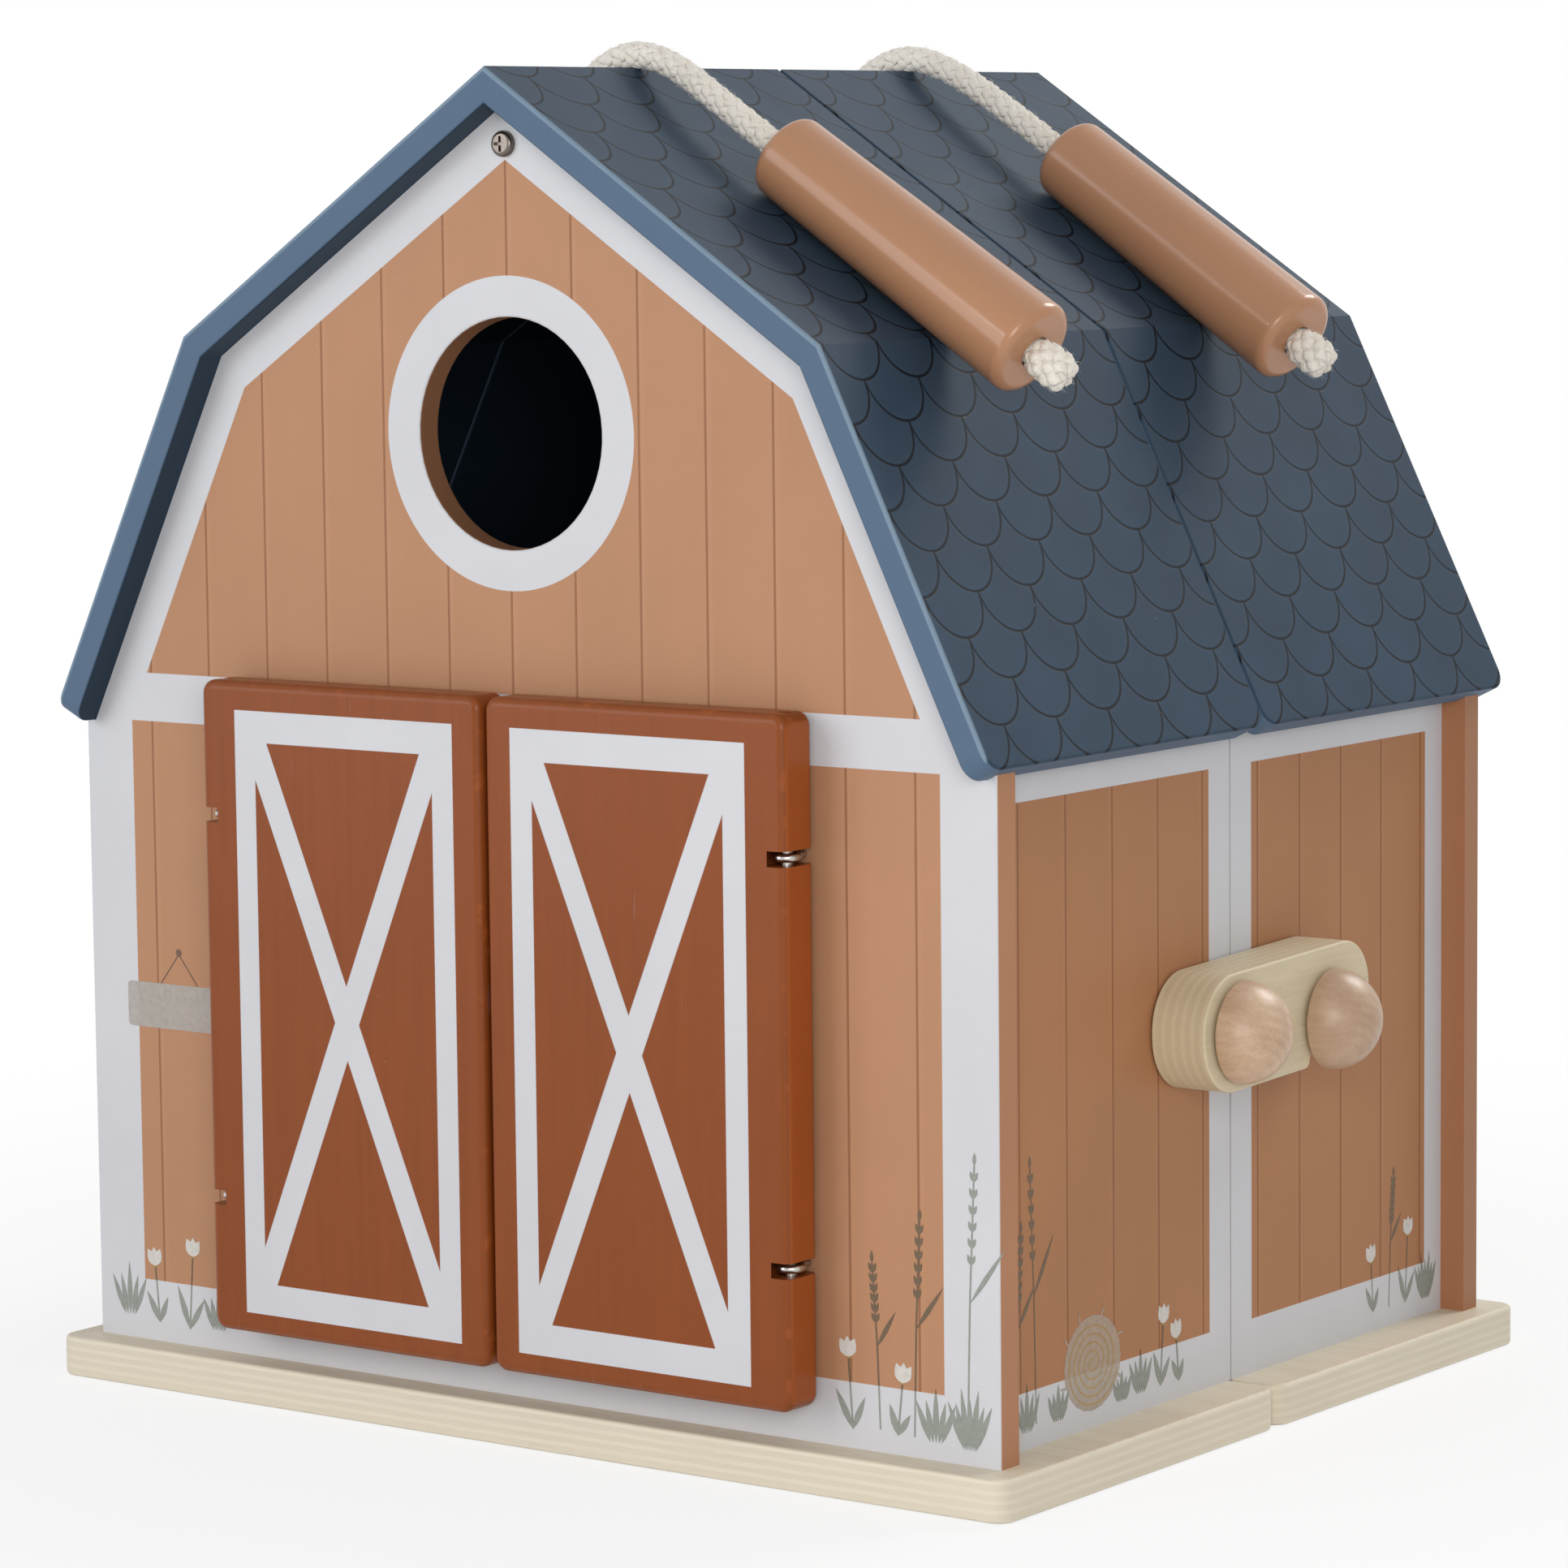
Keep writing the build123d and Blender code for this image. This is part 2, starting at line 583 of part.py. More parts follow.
def leaf_screws(gap=0.0):
    """The front half's screws through the hinge leaves, or the holes for them."""
    x, y = -BATTEN_FACE - LEAF_THICKNESS, -HALF_SEAM - LEAF_WIDTH + LEAF_SCREW_EDGE
    step = LEAF_LENGTH / 2 - LEAF_SCREW_END
    sizes = (SCREW_RADIUS, SCREW_HEAD_RADIUS, SCREW_LENGTH, gap)
    heights = [z + way * step for z in LEAF_PLACES for way in (-1, 1)]
    return [countersunk((x, y, z), (1, 0, 0), *sizes) for z in heights]


def knuckle_spans(height, middle):
    """The heights of a leaf's knuckles: the outer two thirds, or the middle one."""
    low, third = height - LEAF_LENGTH / 2, LEAF_LENGTH / 3
    if middle:
        return [(low + third + CLEAR_GAP / 2, low + 2 * third - CLEAR_GAP / 2)]
    return [(low, low + third - CLEAR_GAP / 2), (low + 2 * third + CLEAR_GAP / 2, low + LEAF_LENGTH)]


def hinge_leaf(height, middle):
    """A leaf of a case hinge on the front half, with its knuckles round the pin."""
    outer_x = -BATTEN_FACE - LEAF_THICKNESS
    low, high = height - LEAF_LENGTH / 2, height + LEAF_LENGTH / 2
    near = -KNUCKLE_RADIUS - CLEAR_GAP
    leaf = block((outer_x, -HALF_SEAM - LEAF_WIDTH, low), (-BATTEN_FACE, near, high))
    for span_low, span_high in knuckle_spans(height, middle):
        leaf += block((outer_x, near - CLEAR_GAP, span_low), (-BATTEN_FACE, -HALF_SEAM, span_high))
        leaf += rod((HINGE_X, 0, span_low), (HINGE_X, 0, span_high), KNUCKLE_RADIUS)
    leaf -= rod((HINGE_X, 0, low), (HINGE_X, 0, high), HINGE_PIN_RADIUS + SCREW_GAP)
    for screw in leaf_screws(SCREW_GAP):
        leaf -= screw
    return leaf


def hinge_pin(height):
    """A case hinge's pin, its heads over the ends of the knuckles."""
    low, high = height - LEAF_LENGTH / 2, height + LEAF_LENGTH / 2
    pin = rod((HINGE_X, 0, low), (HINGE_X, 0, high), HINGE_PIN_RADIUS)
    for start, end in ((low - HINGE_PIN_CAP, low), (high, high + HINGE_PIN_CAP)):
        pin += rod((HINGE_X, 0, start), (HINGE_X, 0, end), (KNUCKLE_RADIUS + HINGE_PIN_RADIUS) / 2)
    return pin


class Handle:
    """One rope handle: the rope's route and the grip's axis, from the hand-chosen places."""

    def __init__(self, left, right, grip_top, low_y):
        down, top_y = grip_top
        self.top = UPPER.point(down, GRIP_TOP_RADIUS + CLEAR_GAP, top_y)
        end_over = GRIP_LOW_RADIUS + CLEAR_GAP
        far = UPPER.point(down + GRIP_LENGTH, end_over, low_y)
        self.way = (far - self.top).normalized()
        self.low = self.top + GRIP_LENGTH * self.way
        self.end = self.low + CLEAR_GAP * self.way
        lead = self.top - GRIP_LEAD * self.way
        self.route = [UPPER.point(*place, side=-1) for place in left]
        self.route += [UPPER.point(*place) for place in right] + [lead, self.end]

    def radii(self):
        """The bend radius at each corner of the route, as large as its two runs allow."""
        found = []
        for a, b, c in zip(self.route, self.route[1:], self.route[2:]):
            shorter = min((b - a).length, (c - b).length)
            turn = (b - a).get_angle(c - b)
            found.append(ROPE_BEND_SHARE * shorter / math.tan(math.radians(turn / 2)))
        return found

    def rope(self):
        """The rope as a plain tube along its route."""
        path = FilletPolyline(*self.route, radius=self.radii())
        start = Plane(origin=self.route[0], z_dir=self.route[1] - self.route[0])
        tube = sweep(start * Circle(ROPE_RADIUS), path=path)
        share = tube.volume / (math.pi * ROPE_RADIUS**2 * path.length)
        radii = [round(radius, 1) for radius in self.radii()]
        print("rope radii", radii, "length", round(path.length, 1), "volume share", round(share, 4))
        return tube

    def hole(self):
        """The slanted hole that the rope takes through the left roof board."""
        start, corner = self.route[0], self.route[1]
        return rod(start, start + 2 * (corner - start), ROPE_RADIUS + ROPE_HOLE_GAP)

    def knot(self):
        """The stopper knot inside the roof."""
        place = Plane(origin=self.route[0], z_dir=self.route[0] - self.route[1])
        ball = Cylinder(ROPE_KNOT_RADIUS, ROPE_KNOT_LENGTH, align=FROM_START)
        return place * fillet(ball.edges().filter_by(GeomType.CIRCLE), ROPE_KNOT_ROUND)

    def stub(self):
        """The knotted rope end below the grip."""
        place = Plane(origin=self.end, z_dir=self.way)
        end = Cylinder(ROPE_END_RADIUS, ROPE_END_LENGTH, align=FROM_START)
        return place * fillet(end.edges().filter_by(GeomType.CIRCLE), ROPE_END_ROUND)

    def grip(self):
        """The tapered wooden grip, bored for the rope."""
        place = Plane(origin=self.top, z_dir=self.way)
        body = Cone(GRIP_TOP_RADIUS, GRIP_LOW_RADIUS, GRIP_LENGTH, align=FROM_START)
        body = fillet(body.edges().filter_by(GeomType.CIRCLE), GRIP_ROUND)
        bore = Cylinder(ROPE_RADIUS + GRIP_BORE_GAP, GRIP_LENGTH, align=FROM_START)
        return place * (body - bore)


def save(name, *solids):
    """Write a node's solids to its file."""
    shape = solids[0] if len(solids) == 1 else Compound(children=list(solids))
    export_step(shape, f"parts/{name}.step")


def save_half(name, rear):
    """Write the walls, roof, base and their screws of one half."""
    place = behind if rear else (lambda shape: shape)
    board = base()
    for hole in base_screws(SCREW_GAP):
        board -= hole
    wall = side_wall()
    front_wall = gable() if rear else front_gable()
    for hole in base_screws(SCREW_GAP):
        wall -= hole
        wall -= leftward(hole)
        front_wall -= hole
    handle = REAR_HANDLE if rear else FRONT_HANDLE
    right_wall = place(wall) - knob_screw_hole(rear, SCREW_GAP)
    save(f"base_{name}", place(board))
    save(f"gable_{name}", place(front_wall))
    save(f"side_wall_right_{name}", right_wall)
    save(f"side_wall_left_{name}", place(leftward(wall)))
    save(f"roof_upper_right_{name}", place(roof_upper()))
    save(f"roof_upper_left_{name}", place(leftward(roof_upper())) - handle.hole())
    save(f"roof_lower_right_{name}", place(roof_lower()))
    save(f"roof_lower_left_{name}", place(leftward(roof_lower())))
    save(f"ridge_beam_{name}", place(ridge_beam()))
    save(f"gable_screw_{name}", place(gable_screw()))
    save(f"base_screws_{name}", *[place(screw) for screw in base_screws()])
    save(f"hinge_batten_{name}", place(hinge_batten()))
    save(f"hinge_leaves_{name}", *[place(hinge_leaf(z, rear)) for z in LEAF_PLACES])
    save(f"hinge_leaf_screws_{name}", *[place(screw) for screw in leaf_screws()])
    save(f"knob_{name}", knob(rear))
    save(f"knob_screw_{name}", knob_screw(rear))
    save(f"rope_{name}", handle.rope())
    save(f"rope_knot_{name}", handle.knot())
    save(f"rope_end_{name}", handle.stub())
    save(f"grip_{name}", handle.grip())


os.makedirs("parts", exist_ok=True)
FRONT_HANDLE = Handle(FRONT_ROPE_LEFT, FRONT_ROPE_RIGHT, FRONT_GRIP_TOP, FRONT_GRIP_LOW_Y)
REAR_HANDLE = Handle(REAR_ROPE_LEFT, REAR_ROPE_RIGHT, REAR_GRIP_TOP, REAR_GRIP_LOW_Y)
save_half("front", False)
save_half("rear", True)
save("hinge_pins", *[hinge_pin(z) for z in LEAF_PLACES])
save("latch_arm", latch_arm())
for door_name, door_side in (("left", -1), ("right", 1)):
    save(f"door_{door_name}", door(door_side))
    save(f"door_rod_{door_name}", door_rod(door_side, DOOR_TOP - ROD_SINK, ROD_RADIUS))
    save(f"screw_eyes_{door_name}", *[screw_eye(door_side, z) for z in EYE_HEIGHTS])
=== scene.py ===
"""Finishes, ropes, prints, floor, lamps and camera for a wooden toy barn with opening doors."""

import cmath
import logging
import math
import random
from collections.abc import Callable, Sequence
from dataclasses import dataclass, field
from enum import Enum

import bpy
from bpy.types import Material, Node, NodeSocket, NodeTree, Object
from mathutils import Matrix, Vector


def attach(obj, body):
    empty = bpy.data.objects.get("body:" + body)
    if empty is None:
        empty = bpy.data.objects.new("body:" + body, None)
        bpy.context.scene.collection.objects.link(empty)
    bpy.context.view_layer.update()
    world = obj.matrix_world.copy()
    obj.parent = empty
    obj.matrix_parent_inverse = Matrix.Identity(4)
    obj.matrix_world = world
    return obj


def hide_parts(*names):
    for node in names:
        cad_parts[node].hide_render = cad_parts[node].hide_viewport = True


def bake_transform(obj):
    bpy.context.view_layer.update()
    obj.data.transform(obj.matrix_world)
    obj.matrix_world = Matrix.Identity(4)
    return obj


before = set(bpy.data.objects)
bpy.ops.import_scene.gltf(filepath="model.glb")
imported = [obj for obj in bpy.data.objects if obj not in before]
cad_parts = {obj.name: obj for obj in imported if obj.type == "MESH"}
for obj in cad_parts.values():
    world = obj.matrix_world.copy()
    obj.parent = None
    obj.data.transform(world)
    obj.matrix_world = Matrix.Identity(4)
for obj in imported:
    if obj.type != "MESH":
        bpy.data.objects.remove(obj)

log = logging.getLogger("barn")

Colour = tuple[float, float, float, float]
Point = tuple[float, float, float]
Pair = tuple[float, float]
Face = tuple[int, ...]
Key = int | str
Inputs = dict[Key, object]

MM = 0.001
HALVES = ("front", "rear")
SIDES = ("left", "right")


def paint(*screen: int) -> Colour:
    """A colour in linear light, given by its red, green and blue on a screen, from 0 to 255."""
    bright = [v / 255 for v in screen]
    return (*(v / 12.92 if v <= 0.04045 else ((v + 0.055) / 1.055) ** 2.4 for v in bright), 1.0)


def shaded(colour: Colour, share: float) -> Colour:
    """A colour made lighter or darker by a share of its light."""
    return (colour[0] * share, colour[1] * share, colour[2] * share, 1.0)


BLACK = (0.0, 0.0, 0.0, 1.0)
FULL_WHITE = (1.0, 1.0, 1.0, 1.0)
DUST = (0.75, 0.72, 0.68, 1.0)
WHITE = paint(211, 212, 217)
TAN = paint(185, 137, 104)
CLAY = paint(176, 124, 86)
CLAY_EDGE = paint(180, 129, 96)
GROOVE = paint(144, 98, 68)
CLAY_GROOVE = paint(138, 90, 58)
SLATE = paint(49, 67, 85)
SLATE_LINE = paint(8, 15, 22)
SLATE_EDGE = paint(88, 110, 134)
# the colour of the painted highlight on the roof's front edge
SLATE_PAINTED_HIGHLIGHT = paint(150, 172, 190)
RUST = paint(139, 72, 31)
GRIP = paint(184, 134, 100)
INSIDE = paint(176, 122, 88)


# ---- shader maths


def _maths(operation: str, reflected: bool = False) -> Callable[..., "Wire"]:
    """An operator of a wire.

    Args:
        operation: What its Math node does.
        reflected: Whether the wire is the last of the node's values instead of the first.

    Returns:
        The operator, as a method.
    """

    def method(wire: "Wire", *others: "Wire | float") -> "Wire":
        """The result of the Math node."""
        values = (*others, wire) if reflected else (wire, *others)
        return wire.graph.wire("ShaderNodeMath", dict(enumerate(values)), operation=operation)

    return method


class Wire:
    """A value that varies over a surface; sums on it add the nodes that work them out."""

    __add__, __radd__ = _maths("ADD"), _maths("ADD", reflected=True)
    __sub__, __rsub__ = _maths("SUBTRACT"), _maths("SUBTRACT", reflected=True)
    __mul__, __rmul__ = _maths("MULTIPLY"), _maths("MULTIPLY", reflected=True)
    __truediv__, __rtruediv__ = _maths("DIVIDE"), _maths("DIVIDE", reflected=True)
    __abs__ = _maths("ABSOLUTE")
    least = _maths("MINIMUM")
    most = _maths("MAXIMUM")
    whole = _maths("FLOOR")
    root = _maths("SQRT")
    within_period = _maths("FLOORED_MODULO")

    def __init__(self, graph: "Graph", socket: NodeSocket) -> None:
        """Keeps the graph that owns the socket."""
        self.graph = graph
        self.socket = socket

    def to_line(self, period: float) -> "Wire":
        """How far the value is from the nearest multiple of a period."""
        return _maths("PINGPONG")(self, period / 2)

    def _turn(self, edge: "Wire | float", soft: float, before: float, after: float) -> "Wire":
        """A mask that turns from one value to another, over a soft width on each side of an edge."""
        ends = {"From Min": edge - soft, "From Max": edge + soft, "To Min": before, "To Max": after}
        return self.graph.wire("ShaderNodeMapRange", {"Value": self, **ends}, interpolation_type="SMOOTHSTEP")

    def past(self, edge: "Wire | float", soft: float = 0.12) -> "Wire":
        """A mask that turns from 0 to 1 where the value passes an edge."""
        return self._turn(edge, soft, 0.0, 1.0)

    def short_of(self, edge: "Wire | float", soft: float = 0.12) -> "Wire":
        """A mask that turns from 1 to 0 where the value passes an edge."""
        return self._turn(edge, soft, 1.0, 0.0)

    def between(self, low: float, high: float, soft: float = 0.12) -> "Wire":
        """A mask that is 1 between two edges."""
        return self.past(low, soft) * self.short_of(high, soft)


Value = Wire | float
Tint = Wire | Colour


class Graph:
    """The nodes of one material or world."""

    def __init__(self, tree: NodeTree) -> None:
        """Empties the tree of nodes."""
        self.tree = tree
        tree.nodes.clear()

    def make(self, kind: str, inputs: Inputs | None = None, **settings: object) -> Node:
        """Makes a node.

        Args:
            kind: The node's type.
            inputs: The values or wires of its sockets.
            settings: The node's own settings, which are set first.

        Returns:
            The node.
        """
        made = self.tree.nodes.new(kind)
        for name, value in settings.items():
            setattr(made, name, value)
        for key, value in (inputs or {}).items():
            self.feed(made.inputs[key], value)
        return made

    def wire(self, kind: str, inputs: Inputs | None = None, output: Key = 0, **settings: object) -> Wire:
        """The wire from one output of a new node."""
        return Wire(self, self.make(kind, inputs, **settings).outputs[output])

    def wires(self, kind: str, inputs: Inputs | None, *outputs: Key) -> tuple[Wire, ...]:
        """The wires from several outputs of a new node."""
        made = self.make(kind, inputs)
        return tuple(Wire(self, made.outputs[output]) for output in outputs)

    def feed(self, socket: NodeSocket, value: object) -> None:
        """Links a wire to a socket, or sets its value.

        Args:
            socket: The socket.
            value: The wire or the value.
        """
        if isinstance(value, Wire):
            self.tree.links.new(value.socket, socket)
        else:
            socket.default_value = value

    def seen(self) -> Wire:
        """A mask of the rays that come from the camera, a reflection or a clear body."""
        ray = self.wires("ShaderNodeLightPath", None, "Is Camera Ray", "Is Glossy Ray", "Is Transmission Ray")
        return ray[0].most(ray[1]).most(ray[2])


class Mixer(Graph):
    """Builds one material: its nodes and its Principled shader."""

    def __init__(self, name: str) -> None:
        """Starts a material, with its place in millimetres.

        Args:
            name: The material's name.
        """
        self.material = bpy.data.materials.new(name)
        self.material.use_nodes = True
        super().__init__(self.material.node_tree)
        self.shader = self.make("ShaderNodeBsdfPrincipled")
        self.matte = Wire(self, self.shader.outputs["BSDF"])
        self.output = self.make("ShaderNodeOutputMaterial", {"Surface": self.matte})
        at = self.wire("ShaderNodeTexCoord", output="Object")
        self.place = self._scaled(at, 1 / MM)

    def _scaled(self, at: Wire, scale: float) -> Wire:
        """A point or way times a number."""
        return self.wire("ShaderNodeVectorMath", {0: at, "Scale": scale}, operation="SCALE")

    def axes(self) -> tuple[Wire, ...]:
        """The three coordinates of the place, in millimetres."""
        return self.wires("ShaderNodeSeparateXYZ", {0: self.place}, 0, 1, 2)

    def noise(
        self, size: float, detail: float = 2.0, stretch: Point = (1.0, 1.0, 1.0), roughness: float = 0.55,
        distortion: float = 0.0,
    ) -> Wire:
        """Cloudy variation.

        Args:
            size: The size of its features in millimetres.
            detail: How many finer layers it has.
            stretch: How much longer its features are along each axis.
            roughness: How strong the finer layers are.
            distortion: How far it is stirred.

        Returns:
            The variation, from 0 to 1.
        """
        scale = tuple(1 / (size * s) for s in stretch)
        at = self.wire("ShaderNodeVectorMath", {0: self.place, 1: scale}, operation="MULTIPLY")
        layers = {"Detail": detail, "Roughness": roughness, "Distortion": distortion}
        return self.wire("ShaderNodeTexNoise", {"Vector": at, "Scale": 1.0, **layers})

    def flecks(self, spacing: float, share: float) -> Wire:
        """Small scattered spots.

        Args:
            spacing: The distance between spots in millimetres.
            share: How large each spot is, as a share of the spacing.

        Returns:
            Their mask.
        """
        at = self._scaled(self.place, 1 / spacing)
        cells = {"Vector": at, "Scale": 1.0, "Randomness": 1.0}
        return self.wire("ShaderNodeTexVoronoi", cells, "Distance").short_of(share, 0.3 * share)

    def blend(self, share: Value, first: Tint, second: Tint) -> Wire:
        """One colour turned into another by a share."""
        return self.wire("ShaderNodeMix", {0: share, 6: first, 7: second}, 2, data_type="RGBA")

    def clouded(self, value: Wire, soft: float, first: Tint, second: Tint) -> Wire:
        """Two colours that take turns where a variation passes its middle."""
        return self.blend(value.past(0.5, soft), first, second)

    def bump(self, height: Wire, depth: float) -> Wire:
        """A normal that is bumped by a height, where 1 stands a depth in millimetres high."""
        inputs = {"Strength": 1.0, "Distance": depth * MM, "Height": height}
        return self.wire("ShaderNodeBump", inputs)

    def finish(self, **sockets: Value | Colour) -> None:
        """Feeds the shader's sockets, which are named with _ for a space."""
        for name, value in sockets.items():
            self.feed(self.shader.inputs[name.replace("_", " ")], value)


# ---- finishes


@dataclass(frozen=True)
class Finish:
    """What every finish has: a name, and a material that it mixes."""

    name: str

    def material(self) -> Material:
        """Makes the material."""
        self.mix(mixer := Mixer(self.name))
        return mixer.material

    def mix(self, mixer: Mixer) -> None:
        """Adds the finish's nodes to a mixer."""
        raise NotImplementedError


@dataclass(frozen=True)
class Satin(Finish):
    """A sprayed satin paint on smooth board, with its faint mottling, dust and orange peel."""

    colour: Colour
    roughness: float = 0.42
    coat: float = 0.0
    mottle: float = 0.06
    gloss: float = 0.2
    peel: float = 0.03

    def sprayed(self, mixer: Mixer, colour: Tint, sunk: Value = 0.0) -> None:
        """Sprays the paint over a print of several colours.

        Args:
            mixer: The material's mixer.
            colour: The print's colour.
            sunk: How deep the print's lines are, in the peel's measure.
        """
        dark = mixer.blend(self.mottle, colour, BLACK)
        tint = mixer.clouded(mixer.noise(38.0, 3.0), 0.35, colour, dark)
        height = mixer.noise(0.9) * 0.7 + mixer.noise(7.0) * 0.9 - sunk
        mixer.finish(
            Base_Color=mixer.blend(mixer.flecks(13.0, 0.022) * 0.12, tint, DUST),
            Roughness=mixer.noise(22.0, 4.0) * 0.12 + (self.roughness - 0.06),
            Normal=mixer.bump(height, self.peel),
            Specular_IOR_Level=self.gloss,
            Coat_Weight=self.coat,
            Coat_Roughness=0.15,
        )

    def mix(self, mixer: Mixer) -> None:
        """Mixes the plain paint."""
        self.sprayed(mixer, self.colour)


@dataclass(frozen=True)
class WallPrint(Satin):
    """A printed board: planks with fine lines between white bands, and paint on its cut edges."""

    plank: Colour = TAN
    groove: Colour = GROOVE
    plank_width: float = 20.0
    painted_highlight_width: float = 4.0

    def board(self, mixer: Mixer, across: Wire, planks: Wire, face: Wire, edge: Wire) -> None:
        """Prints and sprays a board.

        Args:
            mixer: The material's mixer.
            across: The way across the planks, from one of their lines.
            planks: The mask of the planks within the print.
            face: The mask of the printed face.
            edge: The colour off the printed face.
        """
        line = across.to_line(self.plank_width)
        # painted highlight: a lighter strip beside each plank line, where the lit side of a groove would
        # catch light
        painted_highlight_side = across.within_period(self.plank_width).short_of(self.painted_highlight_width, 0.5)
        core = line.short_of(mixer.noise(14.0) * 0.16 + 0.24, 0.16)
        glow = line.short_of(1.5, 0.8) * painted_highlight_side
        wide = mixer.noise(9.0, 3.0, (1.0, 1.0, 14.0)).past(0.5, 0.4)
        base = mixer.blend(wide * 0.5, self.plank, shaded(self.plank, 0.94))
        painted_lit = mixer.blend(glow * 0.16, base, shaded(self.plank, 1.25))
        printed = mixer.blend(planks, WHITE, mixer.blend(core * 0.85, painted_lit, self.groove))
        self.sprayed(mixer, mixer.blend(face, edge, printed), core * planks * face * 2.2)


@dataclass(frozen=True)
class GablePrint(WallPrint):
    """The gables: planks, white corner boards, band and rake, and a ring round the window."""

    face: float = 112.95
    back: float = 106.0
    ridge: float = 316.5
    knee: Pair = (85.8, 260.0)
    foot: Pair = (121.5, 186.0)
    band: Pair = (173.5, 186.0)
    corner: float = 127.0
    sill: float = 26.5
    ring: float = 38.5
    ring_height: float = 250.0
    rim: float = 30.0

    def mix(self, mixer: Mixer) -> None:
        """Mixes the gables' paint and print.

        Args:
            mixer: The material's mixer.
        """
        x, y, z = mixer.axes()
        side = abs(x)
        upper_fall = (self.ridge - self.knee[1]) / self.knee[0]
        lower_run = (self.foot[0] - self.knee[0]) / (self.knee[1] - self.foot[1])
        under_ridge = (z + side * upper_fall).short_of(self.ridge)
        under_knee = (side + z * lower_run).short_of(self.knee[0] + self.knee[1] * lower_run)
        attic = under_ridge * under_knee * z.past(self.band[1])
        wall = z.between(self.sill, self.band[0]) * side.short_of(self.corner)
        high = z - self.ring_height
        from_window = (x * x + high * high).root()
        ring = from_window.short_of(self.ring) * y.short_of(0.0)
        # painted shade: the rear gable's cut edges are painted darker than the front gable's
        edge = mixer.blend(y.past(0.0), CLAY_EDGE, shaded(CLAY_EDGE, 0.84))
        # painted shade: the cut edges round the window are painted darker, within the rim's radius
        edge = mixer.blend(from_window.short_of(self.rim), edge, shaded(CLAY_EDGE, 0.6))
        edge = mixer.blend(abs(y).short_of(self.back), edge, INSIDE)
        self.board(mixer, x, attic.most(wall) * (1 - ring), abs(y).past(self.face), edge)


@dataclass(frozen=True)
class SidePrint(WallPrint):
    """The side walls: planks between white posts at the seam and the ends."""

    plank: Colour = CLAY
    groove: Colour = CLAY_GROOVE
    plank_width: float = 20.4
    first_line: float = 13.0
    face: float = 135.6
    back: float = 128.9
    post: float = 10.0
    planks_end: float = 97.0
    top: float = 165.5
    sill: float = 24.4

    def mix(self, mixer: Mixer) -> None:
        """Mixes the side walls' paint and print.

        Args:
            mixer: The material's mixer.
        """
        x, y, z = mixer.axes()
        along = abs(y)
        planks = along.between(self.post, self.planks_end) * z.between(self.sill, self.top)
        edge = mixer.blend(abs(x).short_of(self.back), CLAY_EDGE, INSIDE)
        self.board(mixer, along - self.first_line, planks, abs(x).past(self.face), edge)


class Slope(Enum):
    """The slopes of the gambrel roof, each by its upper and lower corner, across and up."""

    UPPER = ((0.0, 339.1), (99.3, 273.0))
    LOWER = ((99.3, 273.0), (146.7, 176.0))


@dataclass(frozen=True)
class RoofPrint(Satin):
    """Scalloped shingles printed on one slope of the roof, and the paler paint on its cut edges."""

    slope: Slope = Slope.UPPER
    end: float = 121.3
    thickness: float = 7.3
    pitch: float = 22.0
    row: float = 11.0
    first_row: float = 9.5
    first_cusp: float = 12.2
    line_width: float = 0.34

    def mix(self, mixer: Mixer) -> None:
        """Mixes the slope's paint and print.

        Args:
            mixer: The material's mixer.
        """
        x, y, z = mixer.axes()
        top, low = self.slope.value
        length = math.dist(top, low)
        run, fall = (low[0] - top[0]) / length, (low[1] - top[1]) / length
        side, high = abs(x) - top[0], z - top[1]
        down = side * run + high * fall
        over = side * -fall + high * run
        line = self._arcs(y, down)
        wobble = mixer.noise(5.0) * 0.2
        shingle = line.short_of(wobble + (self.line_width - 0.1), 0.22)
        cell = mixer.noise(17.0, 1.0) * 0.6 + mixer.noise(60.0, 1.0) * 0.4
        base = mixer.clouded(cell, 0.3, shaded(SLATE, 0.9), shaded(SLATE, 1.12))
        # painted highlight: a faint lighter band along each shingle line
        rim = line.between(self.line_width + 0.2, self.line_width + 1.0, 0.4)
        base = mixer.blend(rim * 0.12, base, shaded(SLATE, 1.5))
        printed = mixer.blend(shingle, base, SLATE_LINE)
        # painted highlight: a pale strip along the front edge of the roof's outer face
        painted_edge_highlight = y.short_of(0.7 - self.end, 0.35) * over.past(-1.0, 0.3)
        outer = over.past(-0.5, 0.15) * y.past(0.5 - self.end, 0.2)
        cut = mixer.blend(over.short_of(-self.thickness, 0.15), SLATE_EDGE, shaded(SLATE, 0.8))
        colour = mixer.blend(painted_edge_highlight * 0.55, mixer.blend(outer, cut, printed), SLATE_PAINTED_HIGHLIGHT)
        self.sprayed(mixer, colour, shingle * outer * 1.4)

    def _arcs(self, y: Wire, down: Wire) -> Wire:
        """How far a place is from the nearest line of a shingle.

        Args:
            y: The place along the ridge.
            down: The distance down the slope.

        Returns:
            The distance.
        """
        # the print starts anew at the seam, with its first end towards the front
        across = y + self.end - y.past(0.0, 0.01) * self.end
        radius = self.pitch / 2
        rows = (down - self.first_row) / self.row + 1.0
        number = rows.whole()
        depth = (rows - number) * radius
        odd = number.within_period(2.0)
        arcs = []
        for shift, reach in ((1 - odd, depth), (odd, depth + radius)):
            aside = (across - self.first_cusp - shift * radius).within_period(self.pitch) - radius
            arcs.append(abs((aside * aside + reach * reach).root() - radius))
        return arcs[0].least(arcs[1])


